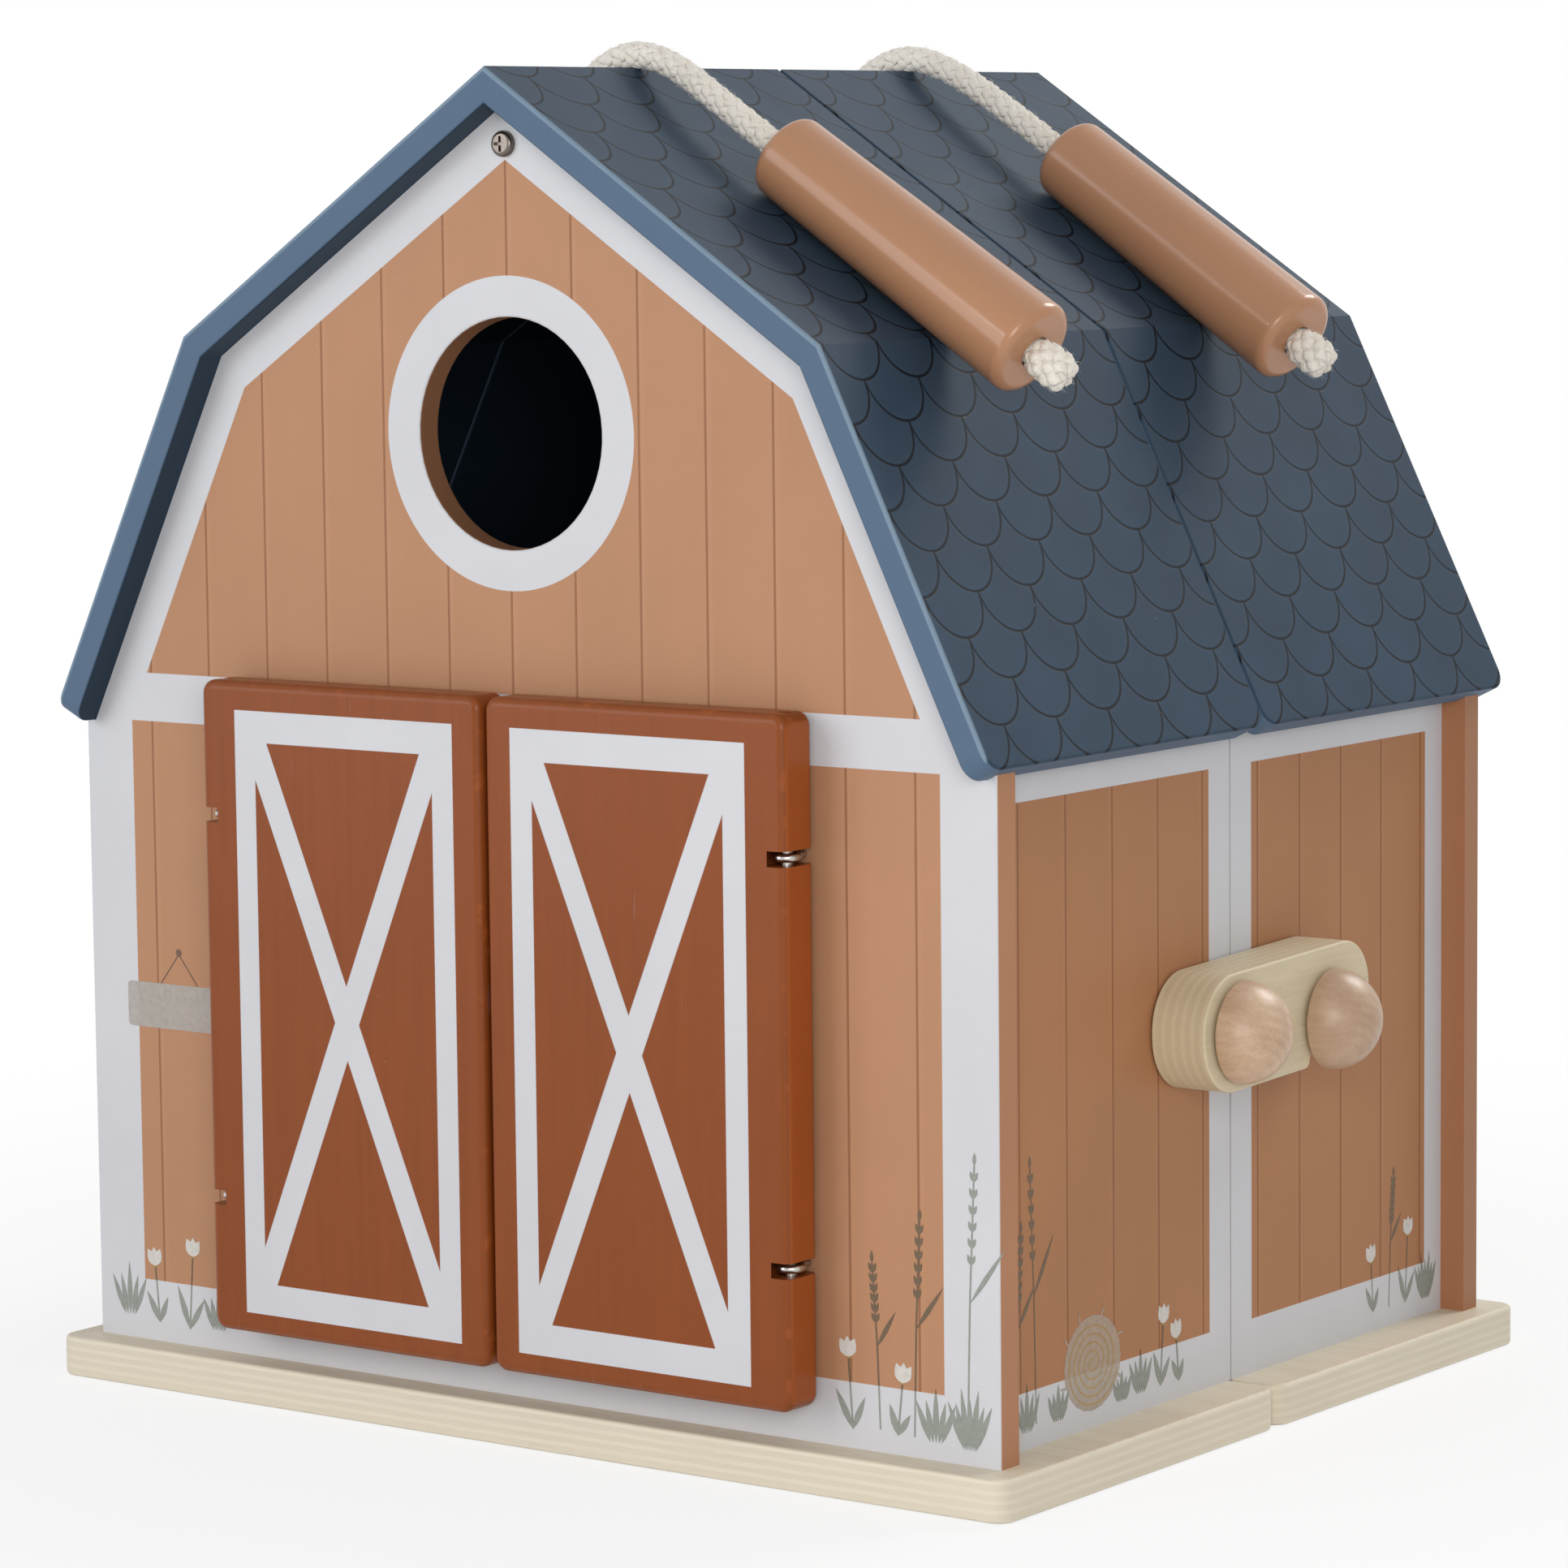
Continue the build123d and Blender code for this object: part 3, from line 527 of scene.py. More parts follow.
@dataclass(frozen=True)
class DoorPrint(Satin):
    """The doors' red-brown paint, with a white frame and a cross of straps printed on the face."""

    peel: float = 0.04
    face: float = 126.0
    inner: Pair = (15.7, 73.4)
    outer: Pair = (9.1, 80.0)
    low: Pair = (25.2, 33.2)
    high: Pair = (171.5, 179.5)
    strap: float = 7.2
    edges: tuple[float, float, float, float] = (0.8, 91.5, 19.7, 186.7)

    def mix(self, mixer: Mixer) -> None:
        """Mixes the doors' paint and print.

        Args:
            mixer: The material's mixer.
        """
        x, y, z = mixer.axes()
        side = abs(x)
        outside = side.between(*self.outer) * z.between(self.low[0], self.high[1])
        inside = side.between(*self.inner) * z.between(self.low[1], self.high[0])
        width, height = self.inner[1] - self.inner[0], self.high[0] - self.low[1]
        long = math.hypot(width, height)
        u, v = side - sum(self.inner) / 2, z - (self.low[1] + self.high[0]) / 2
        rise, drift = u * (height / long), v * (width / long)
        cross = abs(rise - drift).least(abs(rise + drift)).short_of(self.strap / 2)
        white = outside * (1 - inside * (1 - cross))
        grain = mixer.noise(3.0, 3.0, (1.0, 1.0, 22.0))
        rust = mixer.clouded(grain, 0.35, shaded(RUST, 0.93), shaded(RUST, 1.05))
        low_x, high_x, low_z, high_z = self.edges
        margin = (side - low_x).least(high_x - side).least(z - low_z).least(high_z - z)
        worn = margin.short_of(1.2, 0.9) * mixer.noise(6.0, 4.0).past(0.62, 0.05)
        rust = mixer.blend(worn * 0.35, rust, shaded(RUST, 1.9))
        # painted light: the doors' outer side faces are painted lighter, as if lit more
        rust = mixer.blend(side.past(high_x - 0.3, 0.15), rust, shaded(RUST, 1.35))
        colour = mixer.blend(white * y.short_of(-self.face), rust, WHITE)
        scratch = mixer.noise(30.0, 2.0, (0.04, 1.0, 1.0)).past(0.74, 0.02)
        self.sprayed(mixer, mixer.blend(scratch * (1 - white) * 0.06, colour, WHITE))


class Axis(Enum):
    """A direction in the barn's frame."""

    X = 0
    Y = 1
    Z = 2


@dataclass(frozen=True)
class Ply(Finish):
    """Lacquered birch plywood, with its veneers in layers on the cut edges."""

    through: Axis
    low: float
    high: float
    layers: int
    grain: Axis
    light: Colour = paint(227, 218, 198)
    dark: Colour = paint(212, 200, 176)
    end: Colour = paint(219, 208, 187)

    def mix(self, mixer: Mixer) -> None:
        """Mixes the plywood.

        Args:
            mixer: The material's mixer.
        """
        across = mixer.axes()[self.through.value]
        stretch = [1.0, 1.0, 1.0]
        stretch[self.grain.value] = 16.0
        fibre = mixer.noise(1.3, 4.0, tuple(stretch), 0.62)
        flame = mixer.noise(9.0, 3.0, tuple(stretch), 0.5, 0.6)
        pores = mixer.noise(0.45, 2.0, tuple(s * 1.6 for s in stretch)).past(0.66, 0.05)
        face = mixer.clouded(fibre * 0.5 + flame * 0.5, 0.28, self.dark, self.light)
        face = mixer.blend(pores * 0.35, face, shaded(self.dark, 0.72))
        thick = (self.high - self.low) / self.layers
        layer = (across - self.low + mixer.noise(24.0) * 0.35) / thick
        parity = layer.within_period(2.0).past(1.0, 0.12) * (mixer.noise(31.0) * 0.9 + 0.3)
        seam = layer.to_line(1.0).short_of(0.05, 0.04)
        rough_end = mixer.clouded(mixer.noise(0.5), 0.3, shaded(self.end, 0.93), self.end)
        streak = mixer.noise(0.8, 3.0, (22.0, 22.0, 1.0) if self.through is Axis.Z else (1.0, 1.0, 1.0))
        long_grain = mixer.clouded(streak, 0.25, shaded(self.light, 0.93), self.light)
        edge = mixer.blend(parity, long_grain, rough_end)
        edge = mixer.blend(seam * 0.13, edge, shaded(self.end, 0.6))
        cut = across.between(self.low + 0.35, self.high - 0.35, 0.2)
        mixer.finish(
            Base_Color=mixer.blend(cut, face, edge),
            Roughness=mixer.noise(12.0, 3.0) * 0.14 + 0.46,
            Normal=mixer.bump(fibre * 0.8 + parity * cut * 0.2, 0.05),
            Coat_Weight=0.12,
            Coat_Roughness=0.35,
        )


@dataclass(frozen=True)
class TurnedBeech(Finish):
    """Turned and waxed beech: the rings of the end grain at the tip, and flecks along the sides."""

    centres: tuple[Pair, Pair]
    light: Colour = paint(214, 186, 157)
    dark: Colour = paint(188, 153, 123)
    heart: Pair = (14.0, 22.0)
    tip: float = 162.6

    def mix(self, mixer: Mixer) -> None:
        """Mixes the knobs' beech.

        Args:
            mixer: The material's mixer.
        """
        x, y, z = mixer.axes()
        (front_y, front_z), (rear_y, rear_z) = self.centres
        rear = y.past(0.0, 0.5)
        off_y = y - front_y - rear * (rear_y - front_y) + self.heart[0]
        off_z = z - front_z - rear * (rear_z - front_z) + self.heart[1]
        wobble = mixer.noise(11.0) * 2.2
        rings = ((off_y * off_y + off_z * off_z).root() + wobble).to_line(2.6)
        long = mixer.noise(0.9, 3.0, (12.0, 1.0, 1.0))
        fleck = mixer.noise(0.7, 1.0, (5.0, 1.6, 1.0)).past(0.68, 0.05)
        patch = mixer.noise(6.0, 3.0, (1.6, 1.0, 1.0))
        tone = (rings * 0.03 + long * 0.35 + patch * 0.63).past(0.53, 0.26)
        end_grain = x.past(self.tip, 1.4) * (rings * 0.4 + patch).past(0.8, 0.4)
        colour = mixer.blend(tone, self.light, self.dark)
        # painted shade: the rear knob is painted darker; the flecks and the end grain are the wood's own
        for share, shade in ((fleck * 0.25, 0.75), (end_grain * 0.35, 0.82), (rear * 0.45, 0.7)):
            colour = mixer.blend(share, colour, shaded(self.dark, shade))
        mixer.finish(
            Base_Color=colour,
            Roughness=mixer.noise(8.0, 3.0) * 0.12 + 0.36,
            Normal=mixer.bump(long * 0.7 + rings * 0.2, 0.03),
            Coat_Weight=0.2,
            Coat_Roughness=0.3,
        )


@dataclass(frozen=True)
class Pine(Finish):
    """Planed pine, for the beams inside the roof."""

    light: Colour = paint(226, 200, 156)
    dark: Colour = paint(196, 158, 108)

    def mix(self, mixer: Mixer) -> None:
        """Mixes the pine.

        Args:
            mixer: The material's mixer.
        """
        rings = mixer.noise(3.2, 3.0, (1.0, 18.0, 1.0), 0.5, 0.4)
        fine = mixer.noise(0.6, 2.0, (1.0, 14.0, 1.0))
        mixer.finish(
            Base_Color=mixer.clouded(rings * 0.7 + fine * 0.3, 0.22, self.light, self.dark),
            Roughness=fine * 0.15 + 0.55,
            Normal=mixer.bump(rings + fine, 0.06),
        )


@dataclass(frozen=True)
class Cotton(Finish):
    """Undyed cotton: warm white, soft, with fine fibres and a little shade between the strands."""

    light: Colour = paint(247, 243, 235)
    dark: Colour = paint(230, 222, 209)

    def mix(self, mixer: Mixer) -> None:
        """Mixes the cotton.

        Args:
            mixer: The material's mixer.
        """
        fibre = mixer.noise(0.32, 3.0, (1.6, 1.0, 1.6))
        tone = (fibre * 0.6 + mixer.noise(3.0) * 0.4).past(0.48, 0.3)
        deep = mixer.wire("ShaderNodeAttribute", output="Fac", attribute_name="strand_depth")
        colour = mixer.blend(tone, self.dark, self.light)
        mixer.finish(
            Base_Color=mixer.blend(deep * 0.3, colour, shaded(self.dark, 0.62)),
            Roughness=fibre * 0.1 + 0.86,
            Normal=mixer.bump(fibre, 0.16),
            Sheen_Weight=0.25,
            Sheen_Roughness=0.5,
        )


@dataclass(frozen=True)
class Steel(Finish):
    """Plated steel, with fine brush marks and dull spots."""

    colour: Colour = paint(196, 194, 190)
    roughness: float = 0.26
    brush: Point = (1.0, 1.0, 12.0)

    def mix(self, mixer: Mixer) -> None:
        """Mixes the steel.

        Args:
            mixer: The material's mixer.
        """
        marks = mixer.noise(0.35, 3.0, self.brush)
        dull = mixer.noise(3.0, 3.0)
        mixer.finish(
            Base_Color=mixer.blend(dull.past(0.55, 0.3), self.colour, shaded(self.colour, 0.88)),
            Metallic=1.0,
            Roughness=marks * 0.12 + dull * 0.06 + (self.roughness - 0.08),
            Normal=mixer.bump(marks, 0.015),
        )


@dataclass(frozen=True)
class Ink(Finish):
    """A printed motif's ink: uneven, with another shade over the planks than over the white."""

    colour: Colour
    over_planks: Colour
    front_face: float = -113.0
    right_face: float = 136.0

    def mix(self, mixer: Mixer) -> None:
        """Mixes the ink.

        Args:
            mixer: The material's mixer.
        """
        x, y, z = mixer.axes()
        patch = mixer.noise(1.6, 3.0)
        gable, wall = GablePrint, SidePrint
        front = y.short_of(self.front_face) * x.between(-gable.corner, gable.corner) * z.past(gable.sill)
        along = abs(y).between(wall.post, wall.planks_end)
        right = x.past(self.right_face, 0.02) * along * z.past(wall.sill)
        colour = mixer.blend(front.most(right), self.colour, self.over_planks)
        mixer.finish(
            Base_Color=mixer.blend(patch.past(0.5, 0.3) * 0.16, colour, BLACK),
            Roughness=patch * 0.1 + 0.45,
            Normal=mixer.bump(mixer.noise(0.9), 0.02),
        )


# ---- meshes


def piece(
    name: str, points: Sequence[Vector], faces: Sequence[Sequence[int]], *materials: Material,
    smooth: bool = True,
) -> Object:
    """A new mesh piece in the scene.

    Args:
        name: The piece's name.
        points: Its corners, in metres.
        faces: Its faces, as indices of corners.
        materials: Its finishes, in the order of their slots.
        smooth: Whether it is shaded smooth.

    Returns:
        The object.
    """
    mesh = bpy.data.meshes.new(name)
    mesh.from_pydata([tuple(p) for p in points], [], [tuple(f) for f in faces])
    for material in materials:
        mesh.materials.append(material)
    if smooth:
        mesh.shade_smooth()
    mesh.update()
    made = bpy.data.objects.new(name, mesh)
    bpy.context.scene.collection.objects.link(made)
    return made


class Line:
    """A smooth line with evenly spaced points, and two directions across it at each."""

    def __init__(self, points: Sequence[Vector], step: float) -> None:
        """Spaces the points evenly.

        Args:
            points: The points that the line goes through.
            step: About how far apart its own points are, in metres.
        """
        gaps = [(b - a).length for a, b in zip(points, points[1:])]
        self.length = sum(gaps)
        count = max(2, round(self.length / step))
        self.step = self.length / count
        self.points: list[Vector] = []
        index, passed = 0, 0.0
        for k in range(count + 1):
            want = min(k * self.step, self.length - 1e-9)
            while index < len(gaps) - 1 and passed + gaps[index] < want:
                passed += gaps[index]
                index += 1
            share = (want - passed) / max(gaps[index], 1e-12)
            self.points.append(points[index].lerp(points[index + 1], share))
        self.across = self._frames()

    def _frames(self) -> list[tuple[Vector, Vector]]:
        """Carries two directions across the line along it, without twist.

        Returns:
            The two directions at each point.
        """
        ways = [
            (b - a).normalized()
            for a, b in zip([self.points[0], *self.points[:-1]], [*self.points[1:], self.points[-1]])
        ]
        first = ways[0].orthogonal().normalized()
        found = []
        for way in ways:
            first = (first - way * first.dot(way)).normalized()
            found.append((first.copy(), way.cross(first)))
        return found

    def share(self, index: int) -> float:
        """The share of the line that is passed at a point."""
        return index / (len(self.points) - 1)

    def radial(self, index: int, turn: float) -> Vector:
        """The direction across the line at a point, by its turn about the line."""
        first, second = self.across[index]
        return first * math.cos(turn) + second * math.sin(turn)

    @classmethod
    def along_route(cls, route: Sequence[Point], step: float) -> "Line":
        """The line of the smooth spline that a route's points pull on.

        Args:
            route: The spline's control points, in metres.
            step: About how far apart the line's points are.

        Returns:
            The line.
        """
        curve = bpy.data.curves.new("route", "CURVE")
        curve.dimensions = "3D"
        spline = curve.splines.new("NURBS")
        spline.points.add(len(route) - 1)
        for place, at in zip(spline.points, route):
            place.co = (*at, 1.0)
        spline.order_u = 3
        spline.use_endpoint_u = True
        spline.resolution_u = 48
        holder = bpy.data.objects.new("route", curve)
        mesh = bpy.data.meshes.new_from_object(holder)
        points = [v.co.copy() for v in mesh.vertices]
        bpy.data.objects.remove(holder)
        bpy.data.curves.remove(curve)
        bpy.data.meshes.remove(mesh)
        return cls(points, step)


def even(_: float) -> float:
    """The size of a braid that is as thick all along."""
    return 1.0


@dataclass
class Braid:
    """Strands of cotton plaited round a line, half of them each way, over and under."""

    name: str
    cotton: Material
    line: Line
    swell: Callable[[float], float] = even
    radius: float = 3.5 * MM
    carriers: int = 6
    lead: float = 31.0 * MM
    half_thickness: float = 0.66 * MM
    rise: float = 0.4 * MM
    sides: int = 8
    core_sides: int = 12
    core_step: int = 4
    hairs_per_mm: float = 5.0
    hair: float = 0.035 * MM
    points: list[Vector] = field(default_factory=list)
    depth: list[float] = field(default_factory=list)
    faces: list[Face] = field(default_factory=list)

    def build(self) -> Object:
        """Plaits the strands.

        Returns:
            The braid as one mesh, with how deep each point lies among the strands.
        """
        for hand in (-1, 1):
            for carrier in range(self.carriers):
                self._strand(hand, carrier)
        self._core()
        self._hairs()
        made = piece(self.name, self.points, self.faces, self.cotton)
        layer = made.data.attributes.new("strand_depth", "FLOAT", "POINT")
        layer.data.foreach_set("value", self.depth)
        return made

    def _add(self, point: Vector, depth: float) -> None:
        """Adds the next point of a ring, with its depth."""
        self.points.append(point)
        self.depth.append(depth)

    def _close(self, start: int, sides: int) -> None:
        """Joins the rings of points from a start on into a closed tube.

        Args:
            start: The index of the first ring's first point.
            sides: How many points a ring has.
        """
        last = len(self.points) - sides
        for ring in range(start, last, sides):
            for side in range(sides):
                a, b = ring + side, ring + (side + 1) % sides
                self.faces.append((a, a + sides, b + sides, b))
        self.faces.append(tuple(range(start, start + sides)))
        self.faces.append(tuple(reversed(range(last, last + sides))))

    def _strand(self, hand: int, carrier: int) -> None:
        """Adds one strand.

        Args:
            hand: Which way the strand turns, -1 or 1.
            carrier: Its number among the strands of that hand.
        """
        line, start = self.line, len(self.points)
        middle = self.radius - self.half_thickness - self.rise
        for k, point in enumerate(line.points):
            size = self.swell(line.share(k))
            gone = k * line.step
            turn = 2 * math.pi * (carrier / self.carriers + hand * gone / self.lead)
            weave = hand * math.cos(2 * math.pi * self.carriers * gone / self.lead)
            out = (middle + self.rise * weave) * size
            radial = line.radial(k, turn)
            first, second = line.across[k]
            round_it = second * math.cos(turn) - first * math.sin(turn)
            slant = math.atan2(2 * math.pi * middle * size, self.lead)
            wide_way = round_it * math.cos(slant) - first.cross(second) * hand * math.sin(slant)
            half_width = math.pi * (middle + self.rise) * size / self.carriers * math.cos(slant) * 1.04
            thick = self.half_thickness * max(size, 0.35)
            for side in range(self.sides):
                angle = 2 * math.pi * side / self.sides
                lump = 1.0 + 0.05 * math.sin(5.0 * angle + carrier * 1.7 + gone / (0.9 * MM))
                sideways = math.cos(angle) * half_width * lump
                upward = max(math.sin(angle), -0.5) * thick * lump
                depth = min(1.0, max(0.0, 0.5 - 0.5 * math.sin(angle) - 0.2 * weave))
                self._add(point + radial * (out + upward) + wide_way * sideways, depth)
        self._close(start, self.sides)

    def _core(self) -> None:
        """Adds the filling inside the strands."""
        start, last = len(self.points), len(self.line.points) - 1
        rings = [*range(0, last, self.core_step), last]
        reach = self.radius - 1.5 * self.half_thickness - self.rise
        for k in rings:
            size = self.swell(self.line.share(k))
            for side in range(self.core_sides):
                radial = self.line.radial(k, 2 * math.pi * side / self.core_sides)
                self._add(self.line.points[k] + radial * (reach * size), 1.0)
        self._close(start, self.core_sides)

    def _hairs(self) -> None:
        """Adds short loose fibres that stand off the strands."""
        line = self.line
        chance = random.Random(len(line.points))
        for _ in range(round(line.length / MM * self.hairs_per_mm)):
            k = chance.randrange(1, len(line.points) - 1)
            size = self.swell(line.share(k))
            if size < 0.5:
                continue
            radial = line.radial(k, chance.uniform(0, 2 * math.pi))
            first, second = line.across[k]
            along = first.cross(second)
            way = along * chance.choice((-1, 1)) + radial.cross(along) * chance.uniform(-1, 1)
            foot = line.points[k] + radial * (self.radius - 0.4 * self.half_thickness) * size
            long, curl, start = chance.uniform(0.8, 2.4) * MM, chance.uniform(0.15, 0.6), len(self.points)
            side = way.cross(radial).normalized()
            for step in range(4):
                share = step / 3
                thin = (1.2 - share) * self.hair
                at = foot + way.normalized() * long * share + radial * long * curl * share * (1.6 - share)
                for corner in (at - side * thin, at + side * thin, at + radial * thin * 1.6):
                    self._add(corner, 0.1)
            self._close(start, 3)


# ---- sub-assemblies


@dataclass
class Workshop:
    """The finishes that several pieces share."""

    cotton: Material = field(default_factory=Cotton("cotton").material)
    grip_paint: Material = field(
        default_factory=Satin("grip_paint", GRIP, 0.34, coat=0.45, mottle=0.05).material
    )
    bright_steel: Material = field(default_factory=Steel("bright_steel").material)

    @staticmethod
    def dress(material: Material, *nodes: str) -> None:
        """Gives CAD nodes their finish.

        Args:
            material: The finish.
            nodes: The names of the nodes.
        """
        for node in nodes:
            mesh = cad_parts[node].data
            mesh.materials.clear()
            mesh.materials.append(material)
            log.info("dressed %s with %s", node, material.name)


@dataclass
class Handle:
    """One rope over the ridge with its wooden grip, its knot inside the roof and its end."""

    half: str
    route: tuple[Point, ...]
    length: float
    bend: tuple[Point, Point]
    diameter: float = 7.5 * MM
    stub_length: float = 11.0
    stub_size: float = 1.36
    stub_start: float = 2.0
    stub_taper: float = 2.7
    knot_middle: float = 7.0
    knot_loop: float = 1.62
    knot_height: float = 3.4
    knot_steps: int = 96

    def build(self, shop: Workshop) -> None:
        """Builds the rope, its knot and its end, and dresses the grip.

        Args:
            shop: The shared finishes.
        """
        line = Line.along_route(self.route, 0.5 * MM)
        rope = Braid(f"braid_{self.half}", shop.cotton, line).build()
        stub = self._stub(shop)
        knot = self._knot(shop)
        shop.dress(shop.grip_paint, f"grip_{self.half}")
        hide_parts(f"rope_{self.half}")
        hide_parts(f"rope_end_{self.half}")
        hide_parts(f"rope_knot_{self.half}")
        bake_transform(rope)
        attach(stub, f"grip_{self.half}")
        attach(knot, f"{self.half}_half")
        log.info("rope %s: %.1f mm long", self.half, line.length / MM)

    def _stub(self, shop: Workshop) -> Object:
        """Builds the blunt rope end that holds the grip on.

        Args:
            shop: The shared finishes.

        Returns:
            The rope end.
        """
        low = Vector(self.route[-1])
        way = (low - Vector(self.route[-2])).normalized()
        line = Line([low - way * self.stub_start * MM, low + way * self.stub_length * MM], 0.35 * MM)

        def swell(share: float) -> float:
            """The stub's size along its line, which starts inside the grip.

            Args:
                share: The share of the line that is passed.

            Returns:
                The size, where 1 is the braid's own.
            """
            gone = share * line.length / MM - self.stub_start
            if gone < 0.2:
                return 0.98
            grown = 1.0 + (self.stub_size - 1.0) * min(1.0, (gone - 0.2) / 2.2) ** 0.6
            left = (self.stub_length - gone) / self.stub_taper
            close = math.sqrt(max(0.0, 1.0 - (1.0 - min(1.0, left)) ** 2))
            lumps = 1.0 + 0.03 * math.sin(gone * 1.9 + 0.7)
            return max(0.10, grown * close * lumps)

        return Braid(
            f"braid_end_{self.half}", shop.cotton, line, swell, radius=3.75 * MM, lead=27.0 * MM,
            half_thickness=0.82 * MM, rise=0.45 * MM, hairs_per_mm=16.0,
        ).build()

    def _knot(self, shop: Workshop) -> Object:
        """Builds the tight stopper knot inside the roof.

        Args:
            shop: The shared finishes.

        Returns:
            The knot.
        """
        start = Vector(self.route[0])
        way = (start - Vector(self.route[1])).normalized()
        first = way.orthogonal().normalized()
        second = way.cross(first)
        middle = start + way * self.knot_middle * MM
        path = []
        for k in range(self.knot_steps + 1):
            t = 2 * math.pi * k / self.knot_steps
            a = math.sin(t) + 2 * math.sin(2 * t)
            b = math.cos(t) - 2 * math.cos(2 * t)
            flat = (first * a + second * b) * self.knot_loop * MM
            path.append(middle + flat + way * -math.sin(3 * t) * self.knot_height * MM)
        line = Line(path, 0.45 * MM)
        name = f"braid_knot_{self.half}"
        return Braid(name, shop.cotton, line, radius=3.1 * MM, lead=22.0 * MM, rise=0.36 * MM).build()


@dataclass
class Shell:
    """The two halves' walls, roof, base and battens."""

    base_thickness: float = 10.5
    base_veneers: int = 9
    upper_row: float = 12.35
    upper_first_row: float = 4.65

    def build(self, shop: Workshop) -> None:
        """Gives the shell its finishes.

        Args:
            shop: The shared finishes.
        """
        gable = GablePrint("gable_print", TAN, 0.46).material()
        wall = SidePrint("side_print", CLAY, 0.46).material()
        upper = RoofPrint(
            "roof_print_upper", SLATE, 0.5, gloss=0.12, row=self.upper_row, first_row=self.upper_first_row
        ).material()
        lower = RoofPrint("roof_print_lower", SLATE, 0.5, gloss=0.12, slope=Slope.LOWER).material()
        ply = Ply("base_ply", Axis.Z, 0.0, self.base_thickness, self.base_veneers, Axis.X).material()
        pine = Pine("beam_pine").material()
        batten = Satin("batten_white", WHITE, 0.45).material()
        for half in HALVES:
            shop.dress(gable, f"gable_{half}")
            shop.dress(ply, f"base_{half}")
            shop.dress(pine, f"ridge_beam_{half}")
            shop.dress(batten, f"hinge_batten_{half}")
            for side in SIDES:
                shop.dress(wall, f"side_wall_{side}_{half}")
                shop.dress(upper, f"roof_upper_{side}_{half}")
                shop.dress(lower, f"roof_lower_{side}_{half}")


@dataclass
class Doors:
    """The double doors with their rods and screw eyes."""

    roughness: float = 0.3

    def build(self, shop: Workshop) -> None:
        """Gives the doors their finishes.

        Args:
            shop: The shared finishes.
        """
        board = DoorPrint("door_print", RUST, self.roughness).material()
        for side in SIDES:
            shop.dress(board, f"door_{side}")
            shop.dress(shop.bright_steel, f"door_rod_{side}", f"screw_eyes_{side}")


@dataclass
class Latch:
    """The slotted arm and the two knobs on the right wall."""

    knobs: tuple[Pair, Pair] = ((-21.5, 102.9), (21.5, 100.7))
    back: float = 136.7
    front: float = 151.7
    veneers: int = 11
    light: Colour = paint(217, 204, 173)
    dark: Colour = paint(203, 188, 156)
    end: Colour = paint(208, 193, 162)

    def build(self, shop: Workshop) -> None:
        """Gives the latch its finishes.

        Args:
            shop: The shared finishes.
        """
        colours = (self.light, self.dark, self.end)
        arm = Ply("latch_ply", Axis.X, self.back, self.front, self.veneers, Axis.Y, *colours).material()
        shop.dress(arm, "latch_arm")
        shop.dress(TurnedBeech("knob_beech", self.knobs).material(), *(f"knob_{half}" for half in HALVES))


@dataclass
class Hardware:
    """The screws and the case hinge."""

    plated: Colour = paint(176, 172, 160)
    dull: Colour = paint(118, 110, 104)

    def build(self, shop: Workshop) -> None:
        """Gives the hardware its finishes.

        Args:
            shop: The shared finishes.
        """
        hinge = Steel("hinge_steel", self.plated, 0.34).material()
        dull = Steel("screw_steel", self.dull, 0.3).material()
        for half in HALVES:
            shop.dress(dull, f"gable_screw_{half}")
            shop.dress(shop.bright_steel, f"knob_screw_{half}")
            shop.dress(hinge, f"base_screws_{half}", f"hinge_leaves_{half}", f"hinge_leaf_screws_{half}")
        shop.dress(hinge, "hinge_pins")


class Wall(Enum):
    """The outer faces that carry small printed plants."""

    FRONT = -113.3
    RIGHT = 136.0


class Dye(Enum):
    """The inks of the printed plants."""

    SAGE = Ink("ink_sage", paint(146, 152, 144), paint(108, 88, 64))
    CREAM = Ink("ink_cream", paint(214, 212, 210), paint(214, 210, 204))
    OCHRE = Ink("ink_ochre", paint(184, 152, 92), paint(172, 138, 76))
    STRAW = Ink("ink_straw", paint(176, 164, 152), paint(172, 150, 130))
    TAUPE = Ink("ink_taupe", paint(140, 118, 104), paint(112, 78, 56))
    BOARD = Ink("ink_board", paint(176, 170, 165), paint(172, 164, 156))


